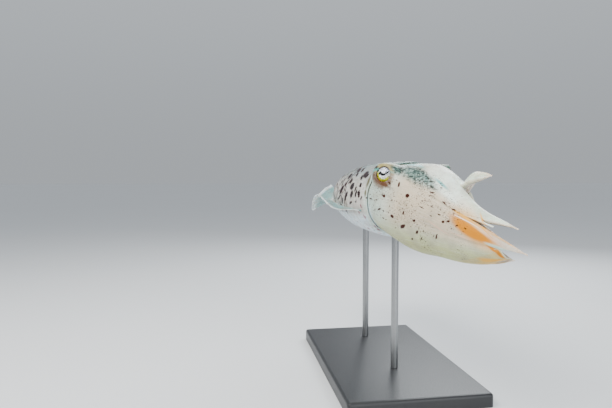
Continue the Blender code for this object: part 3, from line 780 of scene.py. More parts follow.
def add_inner(skin, column, ahead, depth, out=-1.0):
    """A point of one column, some way below the closed arms' outer skin."""
    name, spec, across = column
    place = bud_point(ahead, column_around(spec, across, ahead), depth)
    return skin.add(place, form="arm", name=name, ahead=ahead, across=across, out=out)


def add_web_ends(skin, columns):
    """The inner ends of the web, and the walls between the arms where they part."""
    inner, walls = [], {}
    for index, column in enumerate(columns):
        _, spec, across = column
        ahead = web_reach(spec, across)
        thick = arm_thickness(ahead / spec["length"])
        inner.append(add_inner(skin, column, ahead, thick))
        if across == -1.0:
            walls[index] = []
            for share in [step / WALL_STEPS for step in range(1, WALL_STEPS)]:
                point = add_inner(skin, column, ahead, thick * share, 1.0 - 2.0 * share)
                walls[index].append(point)
    return inner, walls


def add_crown(skin, columns, inner):
    """The arms' inner faces back to the crown, then the membrane to the mouth."""
    rows = [inner]
    for step in range(1, INSIDE_STEPS + 1):
        row = []
        for column in columns:
            _, spec, across = column
            ahead = mix(BUCCAL_AHEAD, web_reach(spec, across), 1.0 - step / INSIDE_STEPS)
            depth = arm_thickness(ahead / spec["length"]) - 2.0 * web_groove(across, ahead)
            row.append(add_inner(skin, column, ahead, depth))
        rows.append(row)
    for step in range(1, BUCCAL_STEPS + 1):
        share = step / BUCCAL_STEPS
        swell = math.sin(math.pi * share)
        row = []
        for _, spec, across in columns:
            around = column_around(spec, across, BUCCAL_AHEAD)
            reach = body_reach(CROWN_AT + BUCCAL_AHEAD, around)
            reach -= arm_thickness(BUCCAL_AHEAD / spec["length"])
            folds = BUCCAL_FOLD * math.sin(BUCCAL_FOLDS * around) * swell
            along = CROWN_AT + mix(BUCCAL_AHEAD, BUCCAL_MIDDLE, share) + folds + BUCCAL_SWELL * swell
            radius = mix(reach, 0.8 * LIP_RADIUS, share)
            place = body_point(along, math.sin(around) * radius, math.cos(around) * radius)
            row.append(skin.add(place, form="buccal", share=share, around=around))
        rows.append(row)
    skin.loft(rows)
    middle = skin.add(axis_place(CROWN_AT + BUCCAL_MIDDLE), form="buccal", share=1.0, around=0.0)
    skin.cap(rows[-1], middle)


def add_head_and_arms(skin):
    """The head, the web and all eight arms as one closed skin, and the membrane round the mouth."""
    columns = arm_columns()
    web_end = add_head(skin, columns)
    inner, walls = add_web_ends(skin, columns)
    start = 0
    total = len(columns)
    for name, spec in ARMS.items():
        count = ARM_COLUMNS[spec["pair"]]
        end = (start + count) % total
        places = [(start + k) % total for k in range(count + 1)]
        outer_row = [web_end[k] for k in places]
        inner_row = [inner[k] for k in places]
        add_arm(skin, name, spec, outer_row + walls[end] + inner_row[::-1] + walls[start][::-1])
        start += count
    add_crown(skin, columns, inner)


def square_edge(count):
    """Where the points of an arm's section lie on a square's edge, round from the outer face."""
    edge = [(-1.0 + 2.0 * k / count, 1.0) for k in range(count + 1)]
    edge += [(1.0, 1.0 - 2.0 * step / WALL_STEPS) for step in range(1, WALL_STEPS)]
    edge += [(1.0 - 2.0 * k / count, -1.0) for k in range(count + 1)]
    edge += [(-1.0, -1.0 + 2.0 * step / WALL_STEPS) for step in range(1, WALL_STEPS)]
    return edge


def arm_place(name, share, across, out):
    """A point of an arm's finished skin."""
    spec = ARMS[name]
    web = web_reach(spec, across)
    ahead = share * spec["length"]
    free = smooth((ahead - web) / (spec["length"] - web) / ARM_FREES_BY)
    station = arm_station(name, round(share, 5))
    if abs(across) == 1.0 and out == -1.0:
        fold = MEMBRANE_HEIGHT * free * (1.0 - share**4)
        own = station.point(0.9 * across, -0.8 - 2.0 * fold / station.thick)
    else:
        own = station.point(*rounded(across, out))
    if free >= 1.0:
        return own
    inset = (0.5 - 0.5 * out) * station.thick
    closed = bud_point(ahead, column_around(spec, across, ahead), inset)
    return closed.lerp(own, free)


def add_arm(skin, name, spec, ring):
    """One free arm from the ring where it leaves the web to its tip."""
    length = spec["length"]
    rows = [ring]
    for onward in [step / (ARM_RINGS + 0.5) for step in range(1, ARM_RINGS + 1)]:
        row = []
        for across, out in square_edge(ARM_COLUMNS[spec["pair"]]):
            share = round(mix(web_reach(spec, across), length, onward) / length, 3)
            facts = dict(form="arm", name=name, ahead=share * length, across=across, out=out)
            row.append(skin.add(arm_place(name, share, across, out), **facts))
        rows.append(row)
    skin.loft(rows)
    tip = arm_station(name, 1.0).point(0.0, 0.0)
    skin.cap(rows[-1], skin.add(tip, form="arm", name=name, ahead=length, across=0.0, out=0.0))


def funnel_ring(skin, along, size, grow, inner):
    half_width, half_height, below = along_table(FUNNEL_STATIONS, along)
    ring = []
    for angle in ring_angles(FUNNEL_SIDES):
        across = math.cos(angle) * (half_width * size + grow)
        up = math.sin(angle) * (half_height * size + grow) - below
        ring.append(skin.add(body_point(along, across, up), form="funnel", along=along, inner=inner))
    return ring


def add_funnel(skin, grow=0.0):
    """The funnel with its open mouth. A grown one is the plain cutter of its groove."""
    first, last = FUNNEL_STATIONS[0][0], FUNNEL_STATIONS[-1][0]
    rows = []
    for step in range(FUNNEL_RINGS + 1):
        rows.append(funnel_ring(skin, mix(first, last, step / FUNNEL_RINGS), 1.0, grow, 0.0))
    end_at = last + grow
    if grow == 0.0:
        for size, ahead in FUNNEL_LIP_RINGS:
            rows.append(funnel_ring(skin, last, size, 0.0, 0.5))
            for vert in rows[-1]:
                vert.co += heading(last) @ Vector((FUNNEL_LIP * ahead, 0, 0))
        for share in (0.0, 0.25, 0.5, 0.75, 1.0):
            along = last - FUNNEL_BORE_DEPTH * share - 0.0004
            rows.append(funnel_ring(skin, along, FUNNEL_BORE * mix(1.0, 0.7, share), 0.0, 1.0))
        end_at = last - FUNNEL_BORE_DEPTH
    skin.loft(rows)
    for row, along in ((rows[0], first - grow), (rows[-1], end_at)):
        below = along_table(FUNNEL_STATIONS, along)[2]
        place = body_point(min(along, last), 0, -below)
        middle = skin.add(place, form="funnel", along=along, inner=1.0)
        if along > last:
            middle.co += heading(last) @ Vector((grow, 0, 0))
        skin.cap(row, middle)


def add_loft(bm, rings, closed=False):
    """Joins closed rings of points, the last one to the first too where closed. Returns its rows."""
    rows = [[bm.verts.new(point) for point in ring] for ring in rings]
    for row, following in zip(rows, rows[1:] + rows[:1] if closed else rows[1:]):
        for k in range(len(row)):
            after = (k + 1) % len(row)
            bm.faces.new((row[k], row[after], following[after], following[k]))
    return rows


def close_to_point(bm, row, point):
    """Closes a ring of vertices with triangles to a point."""
    pole = bm.verts.new(point)
    for k in range(len(row)):
        bm.faces.new((row[k], row[(k + 1) % len(row)], pole))


def object_from(name, bm):
    """Turns a finished bmesh into a named object of the scene, smooth shaded."""
    bmesh.ops.recalc_face_normals(bm, faces=bm.faces)
    mesh = bpy.data.meshes.new(name)
    bm.to_mesh(mesh)
    bm.free()
    made = bpy.data.objects.new(name, mesh)
    bpy.context.scene.collection.objects.link(made)
    mesh.shade_smooth()
    return made


def select_only(*objects):
    """Selects these objects alone, the first one active."""
    if bpy.context.mode != "OBJECT":
        bpy.ops.object.mode_set(mode="OBJECT")
    bpy.ops.object.select_all(action="DESELECT")
    for item in objects:
        item.select_set(True)
    bpy.context.view_layer.objects.active = objects[0]


def apply_boolean(target, operation, other):
    """Applies one Boolean to an object and removes the other solid."""
    modifier = target.modifiers.new("join_or_cut", "BOOLEAN")
    modifier.operation = operation
    modifier.object = other
    select_only(target)
    bpy.ops.object.modifier_apply(modifier=modifier.name)
    bpy.data.objects.remove(other, do_unlink=True)


def socket_mesh(middle):
    """The cutter of the eyeball's room."""
    bm = bmesh.new()
    bmesh.ops.create_uvsphere(bm, u_segments=64, v_segments=40, radius=EYE_RADIUS + EYE_ROOM)
    bmesh.ops.translate(bm, verts=bm.verts, vec=middle)
    return bm


def lid_ring_mesh(middle, axes):
    """The lids' rim round the eye: thicker above, with a fold."""
    bm = bmesh.new()
    rings = []
    for angle in ring_angles(LID_SIDES[0]):
        across = Vector((math.cos(angle), math.sin(angle), 0))
        above = max(0.0, math.sin(angle))
        thick = LID_THICKNESS * (1.0 + 0.25 * above)
        ring = []
        for around in ring_angles(LID_SIDES[1]):
            reach = LID_RING + thick * math.cos(around) - LID_FOLD * above
            ahead = LID_AHEAD + thick * math.sin(around)
            ring.append(middle + axes @ (across * reach + Vector((0, 0, ahead))))
        rings.append(ring)
    add_loft(bm, rings, closed=True)
    return bm


def lid_opening_mesh(middle, axes):
    """The cutter that opens the lids in front of the eye."""
    bm = bmesh.new()
    sizes = dict(radius1=LID_OPENING * 0.62, radius2=LID_OPENING * 1.22, depth=2 * EYE_RADIUS)
    bmesh.ops.create_cone(bm, cap_ends=True, segments=80, **sizes)
    place = Matrix.Translation(middle + axes @ Vector((0, 0, EYE_RADIUS))) @ axes.to_4x4()
    bmesh.ops.transform(bm, verts=bm.verts, matrix=place)
    return bm


def open_eyes(head):
    """Raises the lids' rims on the head and opens the sockets behind them."""
    for side in (-1, 1):
        middle, axes = eye_place(side)
        apply_boolean(head, "UNION", object_from("lid_rim", lid_ring_mesh(middle, axes)))
        apply_boolean(head, "DIFFERENCE", object_from("socket", socket_mesh(middle)))
        apply_boolean(head, "DIFFERENCE", object_from("opening", lid_opening_mesh(middle, axes)))


def relax(target, chosen, rounds, strength):
    """Evens out part of a mesh: each chosen vertex moves towards its neighbours by its weight."""
    bm = bmesh.new()
    bm.from_mesh(target.data)
    bm.verts.ensure_lookup_table()
    weights = {vert.index: chosen(vert.co) for vert in bm.verts}
    moving = [vert for vert in bm.verts if weights[vert.index] > 0.0]
    for _ in range(rounds):
        places = {}
        for vert in moving:
            near = [edge.other_vert(vert).co for edge in vert.link_edges]
            average = sum(near, Vector()) / len(near)
            places[vert] = vert.co.lerp(average, strength * weights[vert.index])
        for vert, place in places.items():
            vert.co = place
    bm.to_mesh(target.data)
    bm.free()


def beside_eye(place, side):
    """A place as the eye sees it (sideways, up, ahead), and how far aside of its gaze it is."""
    middle, axes = eye_place(side)
    local = axes.transposed() @ (place - middle)
    return local, math.hypot(local.x, local.y)


def near_eyes(place):
    """How strongly the skin is evened out round the lids: not at the opening's own edge."""
    weight = 0.0
    for side in (-1, 1):
        local, across = beside_eye(place, side)
        if local.length > 0.024 or local.z < -0.004 or local.length < EYE_RADIUS + 0.4 * MM:
            continue
        fade = fall(local.length, 0.016, 0.008)
        weight = max(weight, fade * rise(across, LID_OPENING * 0.9, 0.0022))
    return weight


# Colours are linear. Each is the animal's own colour, not the water's, except where painted light or
# shade is noted.
HEAD_GREY = Vector((0.52, 0.64, 0.57))
HEAD_TAN = Vector((0.60, 0.50, 0.36))
CHEEK_CREAM = Vector((0.54, 0.56, 0.28))
ARM_WHITE = Vector((0.84, 0.95, 0.86))
ARM_GREEN = Vector((0.48, 0.66, 0.34))
ARM_GOLD = Vector((0.62, 0.52, 0.22))
ARM_PINK = Vector((0.82, 0.58, 0.42))
ARM_ORANGE = Vector((0.72, 0.32, 0.02))
# painted blue light on the top of the head and mantle, where it is seen at a grazing angle
DORSAL_BLUE_LIGHT = Vector((0.06, 0.19, 0.18))
DORSAL_SLATE = Vector((0.12, 0.20, 0.23))
MANTLE_WHITE = Vector((0.54, 0.52, 0.48))
BELLY_WHITE = Vector((0.68, 0.84, 0.92))
FIN_GREY = Vector((0.22, 0.41, 0.41))
FIN_LINE = Vector((0.88, 0.97, 0.98))
# the skin's own brown round the eye with painted shade, darkest below it
SOCKET_SHADE_BROWN = Vector((0.115, 0.042, 0.014))
LID_GOLD = Vector((0.33, 0.255, 0.025))
# painted shadow in the crease under the mantle's rim
CREASE_SHADOW = Vector((0.12, 0.095, 0.035))
# painted shade inside the funnel's mouth
FUNNEL_INNER_SHADE = Vector((0.10, 0.07, 0.06))
SUCKER_FACE = Vector((0.70, 0.62, 0.54))

# The lie of the skin is a pair of measures: how far along, and how far round at this radius
LIE_RADIUS = 0.040
MANTLE_LIE = -0.5  # sets the mantle's measures apart from the head's
FIN_LIE = -1.0
FUNNEL_LIE = 0.5
NO_MARKS = (0.0, 0.0, 0.0, 0.0)


def band(at, low, high, fade):
    """1 between low and high, fading to 0 outside them."""
    return rise(at, low - fade, fade) * smooth((high - at) / fade + 1.0)


def eye_shade(place):
    """How brown and how golden the skin is round the eyes at a place. The brown is the skin's own with
    painted shade, strongest below and behind the eye.
    """
    brown = gold = 0.0
    for side in (-1, 1):
        local, across = beside_eye(place, side)
        if local.length > 0.030:
            continue
        front = -side * local.x / max(across, 1e-6)
        lower = smooth(0.5 - local.y / max(across, 1e-6))
        across += 0.0022 * noise.noise(place * 380)
        # the brown reaches further and is stronger below the eye: painted shade under it
        reach = mix(0.0100, 0.0128, lower) + 0.0012 * smooth(-front) * lower
        brown = max(brown, fall(across, reach, 0.0030) * mix(0.25, 1.0, lower))
        gold = max(gold, fall(across, 0.0122, 0.002) * (1.0 - lower))
    return brown, gold


def head_look(facts, place):
    top = abs(math.degrees(facts["around"]))
    along = facts["along"]
    brown, gold = eye_shade(place)
    tint = HEAD_GREY
    for colour, share in (
        (HEAD_TAN, rise(along, 0.012, 0.040) * fall(top, 100, 40)),
        (CHEEK_CREAM, rise(top, 98, 40)),
        (ARM_WHITE, 0.85 * rise(along, 0.040, 0.028) * fall(top, 36, 14)),
        # painted blue light along the head's top near the collar
        (DORSAL_BLUE_LIGHT, 0.65 * fall(top, 12, 20) * fall(along, 0.03, 0.03)),
        (LID_GOLD, 0.85 * gold),
        # brown round the eye with painted shade below it
        (SOCKET_SHADE_BROWN, 0.92 * brown),
        (BELLY_WHITE, 0.8 * rise(top, 92, 14) * fall(along, 0.001, 0.008)),
    ):
        tint = tint.lerp(colour, share)
    spots = (1.0 - gold) * (1.0 - brown) * rise(top, 15, 20) * (1.0 - 0.6 * rise(top, 125, 30))
    return tint, (spots, 0.0, 1.0, 0.0), (along, facts["around"] * LIE_RADIUS)


def arm_look(facts, place):
    spec = ARMS[facts["name"]]
    share = facts["ahead"] / spec["length"]
    across, out = facts["across"], facts["out"]
    down = across * spec["side"]  # 1 at the lower edge
    pair = spec["pair"]
    if pair == 0:
        tint = ARM_WHITE.lerp(ARM_GREEN, 0.34 * smooth(share * 1.6) * (1.0 - abs(across) ** 3))
        tint = tint.lerp(ARM_ORANGE, 0.30 * rise(abs(across), 0.75, 0.2) * smooth(share * 2))
        tint = tint.lerp(ARM_PINK, 0.85 * rise(share, 0.82, 0.15))
    elif pair == 1:
        tint = HEAD_TAN.lerp(ARM_WHITE, smooth(share * 1.5)).lerp(ARM_ORANGE, 0.30 * smooth(down))
    elif pair == 2:
        tint = HEAD_TAN.lerp(ARM_PINK, smooth(share * 2.2)).lerp(ARM_WHITE, 0.45 * smooth(share * 1.6))
        tint = tint.lerp(ARM_ORANGE, 0.75 * rise(-down, 0.55, 0.35) * band(share, 0.35, 0.85, 0.15))
        tint = tint.lerp(ARM_PINK, 0.8 * rise(share, 0.88, 0.1))
    else:
        tint = CHEEK_CREAM.lerp(ARM_GOLD, 0.8 * smooth(share * 2.2))
        tint = tint.lerp(HEAD_TAN, 0.35 * smooth(share * 2) * smooth(-down))
        tint = tint.lerp(ARM_ORANGE, 0.5 * rise(down, 0.1, 0.3) * rise(share, 0.55, 0.2))
    inner = rise(-out, 0.2, 0.6)
    tint = tint.lerp(SUCKER_FACE, inner)
    spots = (1.0 - inner) * fall(share, 0.05, 0.5) * (0.08 if pair == 0 else 0.7)
    around = column_around(spec, across, facts["ahead"])
    return tint, (spots, 0.0, 1.0 - inner, 0.0), (CROWN_AT + facts["ahead"], around * LIE_RADIUS)


def mantle_look(facts, place):
    around = math.atan2(math.sin(facts["around"]), math.cos(facts["around"]))
    top = abs(math.degrees(around))
    behind = facts["back"] * MANTLE_LENGTH
    hidden = facts["inner"]
    off_rim = rise(behind, 0.002, 0.004)
    belly = rise(top, 108, 14)
    tint = MANTLE_WHITE
    for colour, share in (
        (BELLY_WHITE, rise(top, 106, 16)),
        (DORSAL_SLATE, 0.75 * fall(top, 36, 38)),
        # painted blue light along the mantle's top
        (DORSAL_BLUE_LIGHT, 0.45 * fall(top, 14, 20)),
        (HEAD_GREY, 0.7 * (1.0 - off_rim)),
        # painted shadow inside the crease under the mantle's rim, dark above and pale towards the belly
        (CREASE_SHADOW.lerp(BELLY_WHITE, rise(top, 76, 14)), smooth(hidden * 1.6)),
    ):
        tint = tint.lerp(colour, share)
    seen = fall(behind, 0.055, 0.02) * band(top, 20, 180, 10)
    dashes = (1.0 - belly) * off_rim * (hidden == 0.0) * (1.0 - 0.85 * seen)
    placed = 1.0 if hidden < 0.3 and behind < 0.11 else 0.0
    # the fourth mark is the belly's painted gleam
    marks = (0.25 * belly * off_rim, dashes, placed, belly * off_rim)
    return tint, marks, (MANTLE_LIE - behind, around * LIE_RADIUS)


def fin_look(facts, place):
    out = facts["out"]
    line = band(out, 0.90, 1.0, 0.05) + 0.3 * band(out, 0.20, 0.23, 0.05) * facts["top"]
    tint = MANTLE_WHITE.lerp(FIN_GREY, rise(out, 0.12, 0.3)).lerp(FIN_LINE, min(1.0, line))
    lie = (FIN_LIE - facts["share"] * MANTLE_LENGTH, facts["side"] * (0.02 + out * 0.03))
    return tint, NO_MARKS, lie


def funnel_look(facts, place):
    # painted shade inside the funnel's mouth and on its lip's inner rings
    tint = BELLY_WHITE.lerp(FUNNEL_INNER_SHADE, facts["inner"])
    # half the belly's painted gleam on the funnel
    return tint, (0.0, 0.0, 0.0, 0.5), (FUNNEL_LIE + facts["along"], 0.0)


def buccal_look(facts, place):
    return SUCKER_FACE.lerp(HEAD_TAN, facts["share"]), NO_MARKS, (CROWN_AT, facts["around"] * 0.02)


# Each form's tint, its marks (spots, dashes, placed ones, painted gleam) and the lie of its skin
LOOKS = {
    "head": head_look,
    "arm": arm_look,
    "mantle": mantle_look,
    "fin": fin_look,
    "funnel": funnel_look,
    "buccal": buccal_look,
}


def place_on_body(place, along):
    """How far along the body's axis a place is, and its angle from the top."""
    for _ in range(5):
        local = heading(along).transposed() @ (place - axis_place(along))
        along = max(BODY_STATIONS[0][0], along + local.x)
    return along, math.atan2(local.y, local.z)


def paint_skin(skin, places, facts):
    """Stores the colours, the marks and the lie of the surface on the finished mesh."""
    tree = kdtree.KDTree(len(places))
    for index, place in enumerate(places):
        tree.insert(place, index)
    tree.balance()
    mesh = skin.data
    tints, marks, flows, clears = [], [], [], []
    for vert in mesh.vertices:
        _, index, away = tree.find(vert.co)
        known = facts[index]
        if away > 1e-5 and known["form"] == "head":
            along, around = place_on_body(vert.co, known["along"])
            known = dict(known, along=along, around=around)
        tint, mark, flow = LOOKS[known["form"]](known, vert.co)
        tints.extend((*tint, 1.0))
        marks.extend(mark)
        flows.append(flow)
        clears.append(known["out"] if known["form"] == "fin" else 0.0)
    for name, kind, field, values in (
        ("tint", "FLOAT_COLOR", "color", tints),
        ("marks", "FLOAT_COLOR", "color", marks),
        ("clear", "FLOAT", "value", clears),
    ):
        mesh.attributes.new(name, kind, "POINT").data.foreach_set(field, values)
    uv = mesh.uv_layers.new(name="lie")
    for polygon in mesh.polygons:
        corners = [flows[index] for index in polygon.vertices]
        sides = [across for _, across in corners]
        seam = max(sides) - min(sides) > 0.1
        for loop, (along, across) in zip(polygon.loop_indices, corners):
            if seam and across < 0.0:
                across += 2 * math.pi * LIE_RADIUS
            uv.data[loop].uv = (along, across)


class Board:
    """Lays out a material's or a group's nodes, with short calls for the common ones."""

    def __init__(self, tree):
        self.tree = tree
        self.count = 0

    def put(self, socket, value):
        """Links a socket to another one, or sets its constant."""
        if isinstance(value, bpy.types.NodeSocket):
            self.tree.links.new(value, socket)
        else:
            socket.default_value = value

    def node(self, kind, inputs=None, **settings):
        made = self.tree.nodes.new(kind)
        made.location = (200 * (self.count // 6), -180 * (self.count % 6))
        self.count += 1
        for name, value in settings.items():
            setattr(made, name, value)
        for key, value in (inputs or {}).items():
            self.put(made.inputs[key], value)
        return made

    def math(self, operation, first, second=0.5, third=0.5, clamp=False):
        inputs = {0: first, 1: second, 2: third}
        return self.node("ShaderNodeMath", inputs, operation=operation, use_clamp=clamp).outputs[0]

    def times(self, first, second):
        return self.math("MULTIPLY", first, second)

    def vector(self, operation, first, second):
        return self.node("ShaderNodeVectorMath", {0: first, 1: second}, operation=operation).outputs

    def range(self, value, low, high, to_low=0.0, to_high=1.0):
        names = ("Value", "From Min", "From Max", "To Min", "To Max")
        inputs = dict(zip(names, (value, low, high, to_low, to_high)))
        made = self.node("ShaderNodeMapRange", inputs, interpolation_type="SMOOTHSTEP")
        return made.outputs["Result"]

    def colour(self, share, first, second, blend="MIX"):
        """The second colour over the first one. Each is a socket or three numbers."""
        made = self.node("ShaderNodeMix", {0: share}, data_type="RGBA", blend_type=blend)
        for key, value in ((6, first), (7, second)):
            is_socket = isinstance(value, bpy.types.NodeSocket)
            self.put(made.inputs[key], value if is_socket else (*value, 1.0))
        return made.outputs[2]

    def cover(self, colour, mask, strength, over):
        """A colour with another one over it where the mask is, by a strength."""
        return self.colour(self.times(mask, strength), colour, over)

    def noise(self, vector, scale, detail=3.0, roughness=0.5, distortion=0.0, output="Fac"):
        names = ("Vector", "Scale", "Detail", "Roughness", "Distortion")
        inputs = dict(zip(names, (vector, scale, detail, roughness, distortion)))
        return self.node("ShaderNodeTexNoise", inputs).outputs[output]

    def scaled(self, vector, x, y):
        return self.node("ShaderNodeMapping", {"Vector": vector, "Scale": (x, y, 1.0)}).outputs[0]

    def bump(self, height, strength, distance):
        inputs = {"Strength": strength, "Distance": distance, "Height": height}
        return self.node("ShaderNodeBump", inputs).outputs[0]

    def attribute(self, name):
        return self.node("ShaderNodeAttribute", attribute_name=name).outputs

    def group(self, group, inputs):
        return self.node("ShaderNodeGroup", inputs, node_tree=group).outputs

    def objects(self):
        return self.node("ShaderNodeTexCoord").outputs["Object"]


class Finish(Board):
    """The board of a new material."""

    def __init__(self, name):
        self.material = bpy.data.materials.new(name)
        self.material.use_nodes = True
        super().__init__(self.material.node_tree)

    def shade(self, inputs):
        """Gives the material's shader its links and constants, and returns the material."""
        shader = self.tree.nodes["Principled BSDF"]
        for key, value in inputs.items():
            self.put(shader.inputs[key], value)
        return self.material


def new_group(name, inputs, outputs):
    """A shader node group with named sockets. Returns it, its board and what it is given."""
    group = bpy.data.node_groups.new(name, "ShaderNodeTree")
    kinds = {"float": "NodeSocketFloat", "vector": "NodeSocketVector"}
    for socket, kind, value in inputs:
        made = group.interface.new_socket(name=socket, in_out="INPUT", socket_type=kinds[kind])
        if value is not None:
            made.default_value = value
    for socket in outputs:
        group.interface.new_socket(name=socket, in_out="OUTPUT", socket_type=kinds["float"])
    board = Board(group)
    return group, board, board.node("NodeGroupInput").outputs


def mark_group():
    """One oval mark on the skin, given by its middle and two measures that are 1 at its edge."""
    inputs = (
        ("Lie", "vector", None),
        ("Middle", "vector", (0, 0, 0)),
        ("First", "vector", (1, 0, 0)),
        ("Second", "vector", (0, 1, 0)),
        ("Inside", "float", 0.8),
        ("Outside", "float", 1.2),
    )
    group, board, given = new_group("one mark", inputs, ("Mask",))
    away = board.vector("SUBTRACT", given["Lie"], given["Middle"])[0]
    squares = []
    for measure in ("First", "Second"):
        part = board.vector("DOT_PRODUCT", away, given[measure])["Value"]
        squares.append(board.times(part, part))
    reach = board.math("SQRT", board.math("ADD", *squares))
    board.node("NodeGroupOutput", {"Mask": board.range(reach, given["Outside"], given["Inside"])})
    return group


def scatter_group():
    """Small marks scattered along the lie of the skin, some of them missing, each with its own size."""
    inputs = (
        ("Lie", "vector", None),
        ("Along", "float", 200.0),
        ("Across", "float", 300.0),
        ("Slant", "float", 0.0),
        ("Size", "float", 0.3),
        ("Kept", "float", 0.5),
        ("Seed", "float", 0.0),
    )
    group, board, given = new_group("scattered marks", inputs, ("Mask",))

    def joined(**parts):
        return board.node("ShaderNodeCombineXYZ", parts).outputs[0]

    turn = {"Vector": given["Lie"], "Rotation": joined(Z=given["Slant"])}
    turned_lie = board.node("ShaderNodeMapping", turn).outputs[0]
    fit = {
        "Vector": turned_lie,
        "Scale": joined(X=given["Along"], Y=given["Across"], Z=1.0),
        "Location": joined(X=given["Seed"], Y=given["Seed"]),
    }
    local = board.node("ShaderNodeMapping", fit).outputs[0]
    cells = {"Vector": local, "Scale": 1.0, "Randomness": 0.85}
    cell = board.node("ShaderNodeTexVoronoi", cells, voronoi_dimensions="2D").outputs
    parts = board.node("ShaderNodeSeparateColor", {0: cell["Color"]}).outputs
    own_size = board.times(given["Size"], board.range(parts[0], 0, 1, 0.55, 1.25))
    mask = board.range(board.math("DIVIDE", cell["Distance"], own_size), 1.2, 0.8)
    kept = board.math("LESS_THAN", parts[1], given["Kept"])
    board.node("NodeGroupOutput", {"Mask": board.times(mask, kept)})
    return group


def grain_group():
    """Fine unevenness of a surface: a height for the bump and a value that varies over it."""
    inputs = (("Vector", "vector", None), ("Scale", "float", 400.0))
    group, board, given = new_group("fine grain", inputs, ("Height", "Variation"))
    fine = board.noise(given["Vector"], given["Scale"], 5.0)
    coarse = board.noise(given["Vector"], board.times(given["Scale"], 0.12), 2.0)
    height = board.math("MULTIPLY_ADD", coarse, 0.6, fine)
    board.node("NodeGroupOutput", {"Height": height, "Variation": coarse})
    return group


def shared_group(maker, name):
    """A node group that is made once and used by several materials."""
    return bpy.data.node_groups.get(name) or maker()


def fine_grain(board, vector, scale):
    """The grain's height and variation."""
    return board.group(shared_group(grain_group, "fine grain"), {"Vector": vector, "Scale": scale})


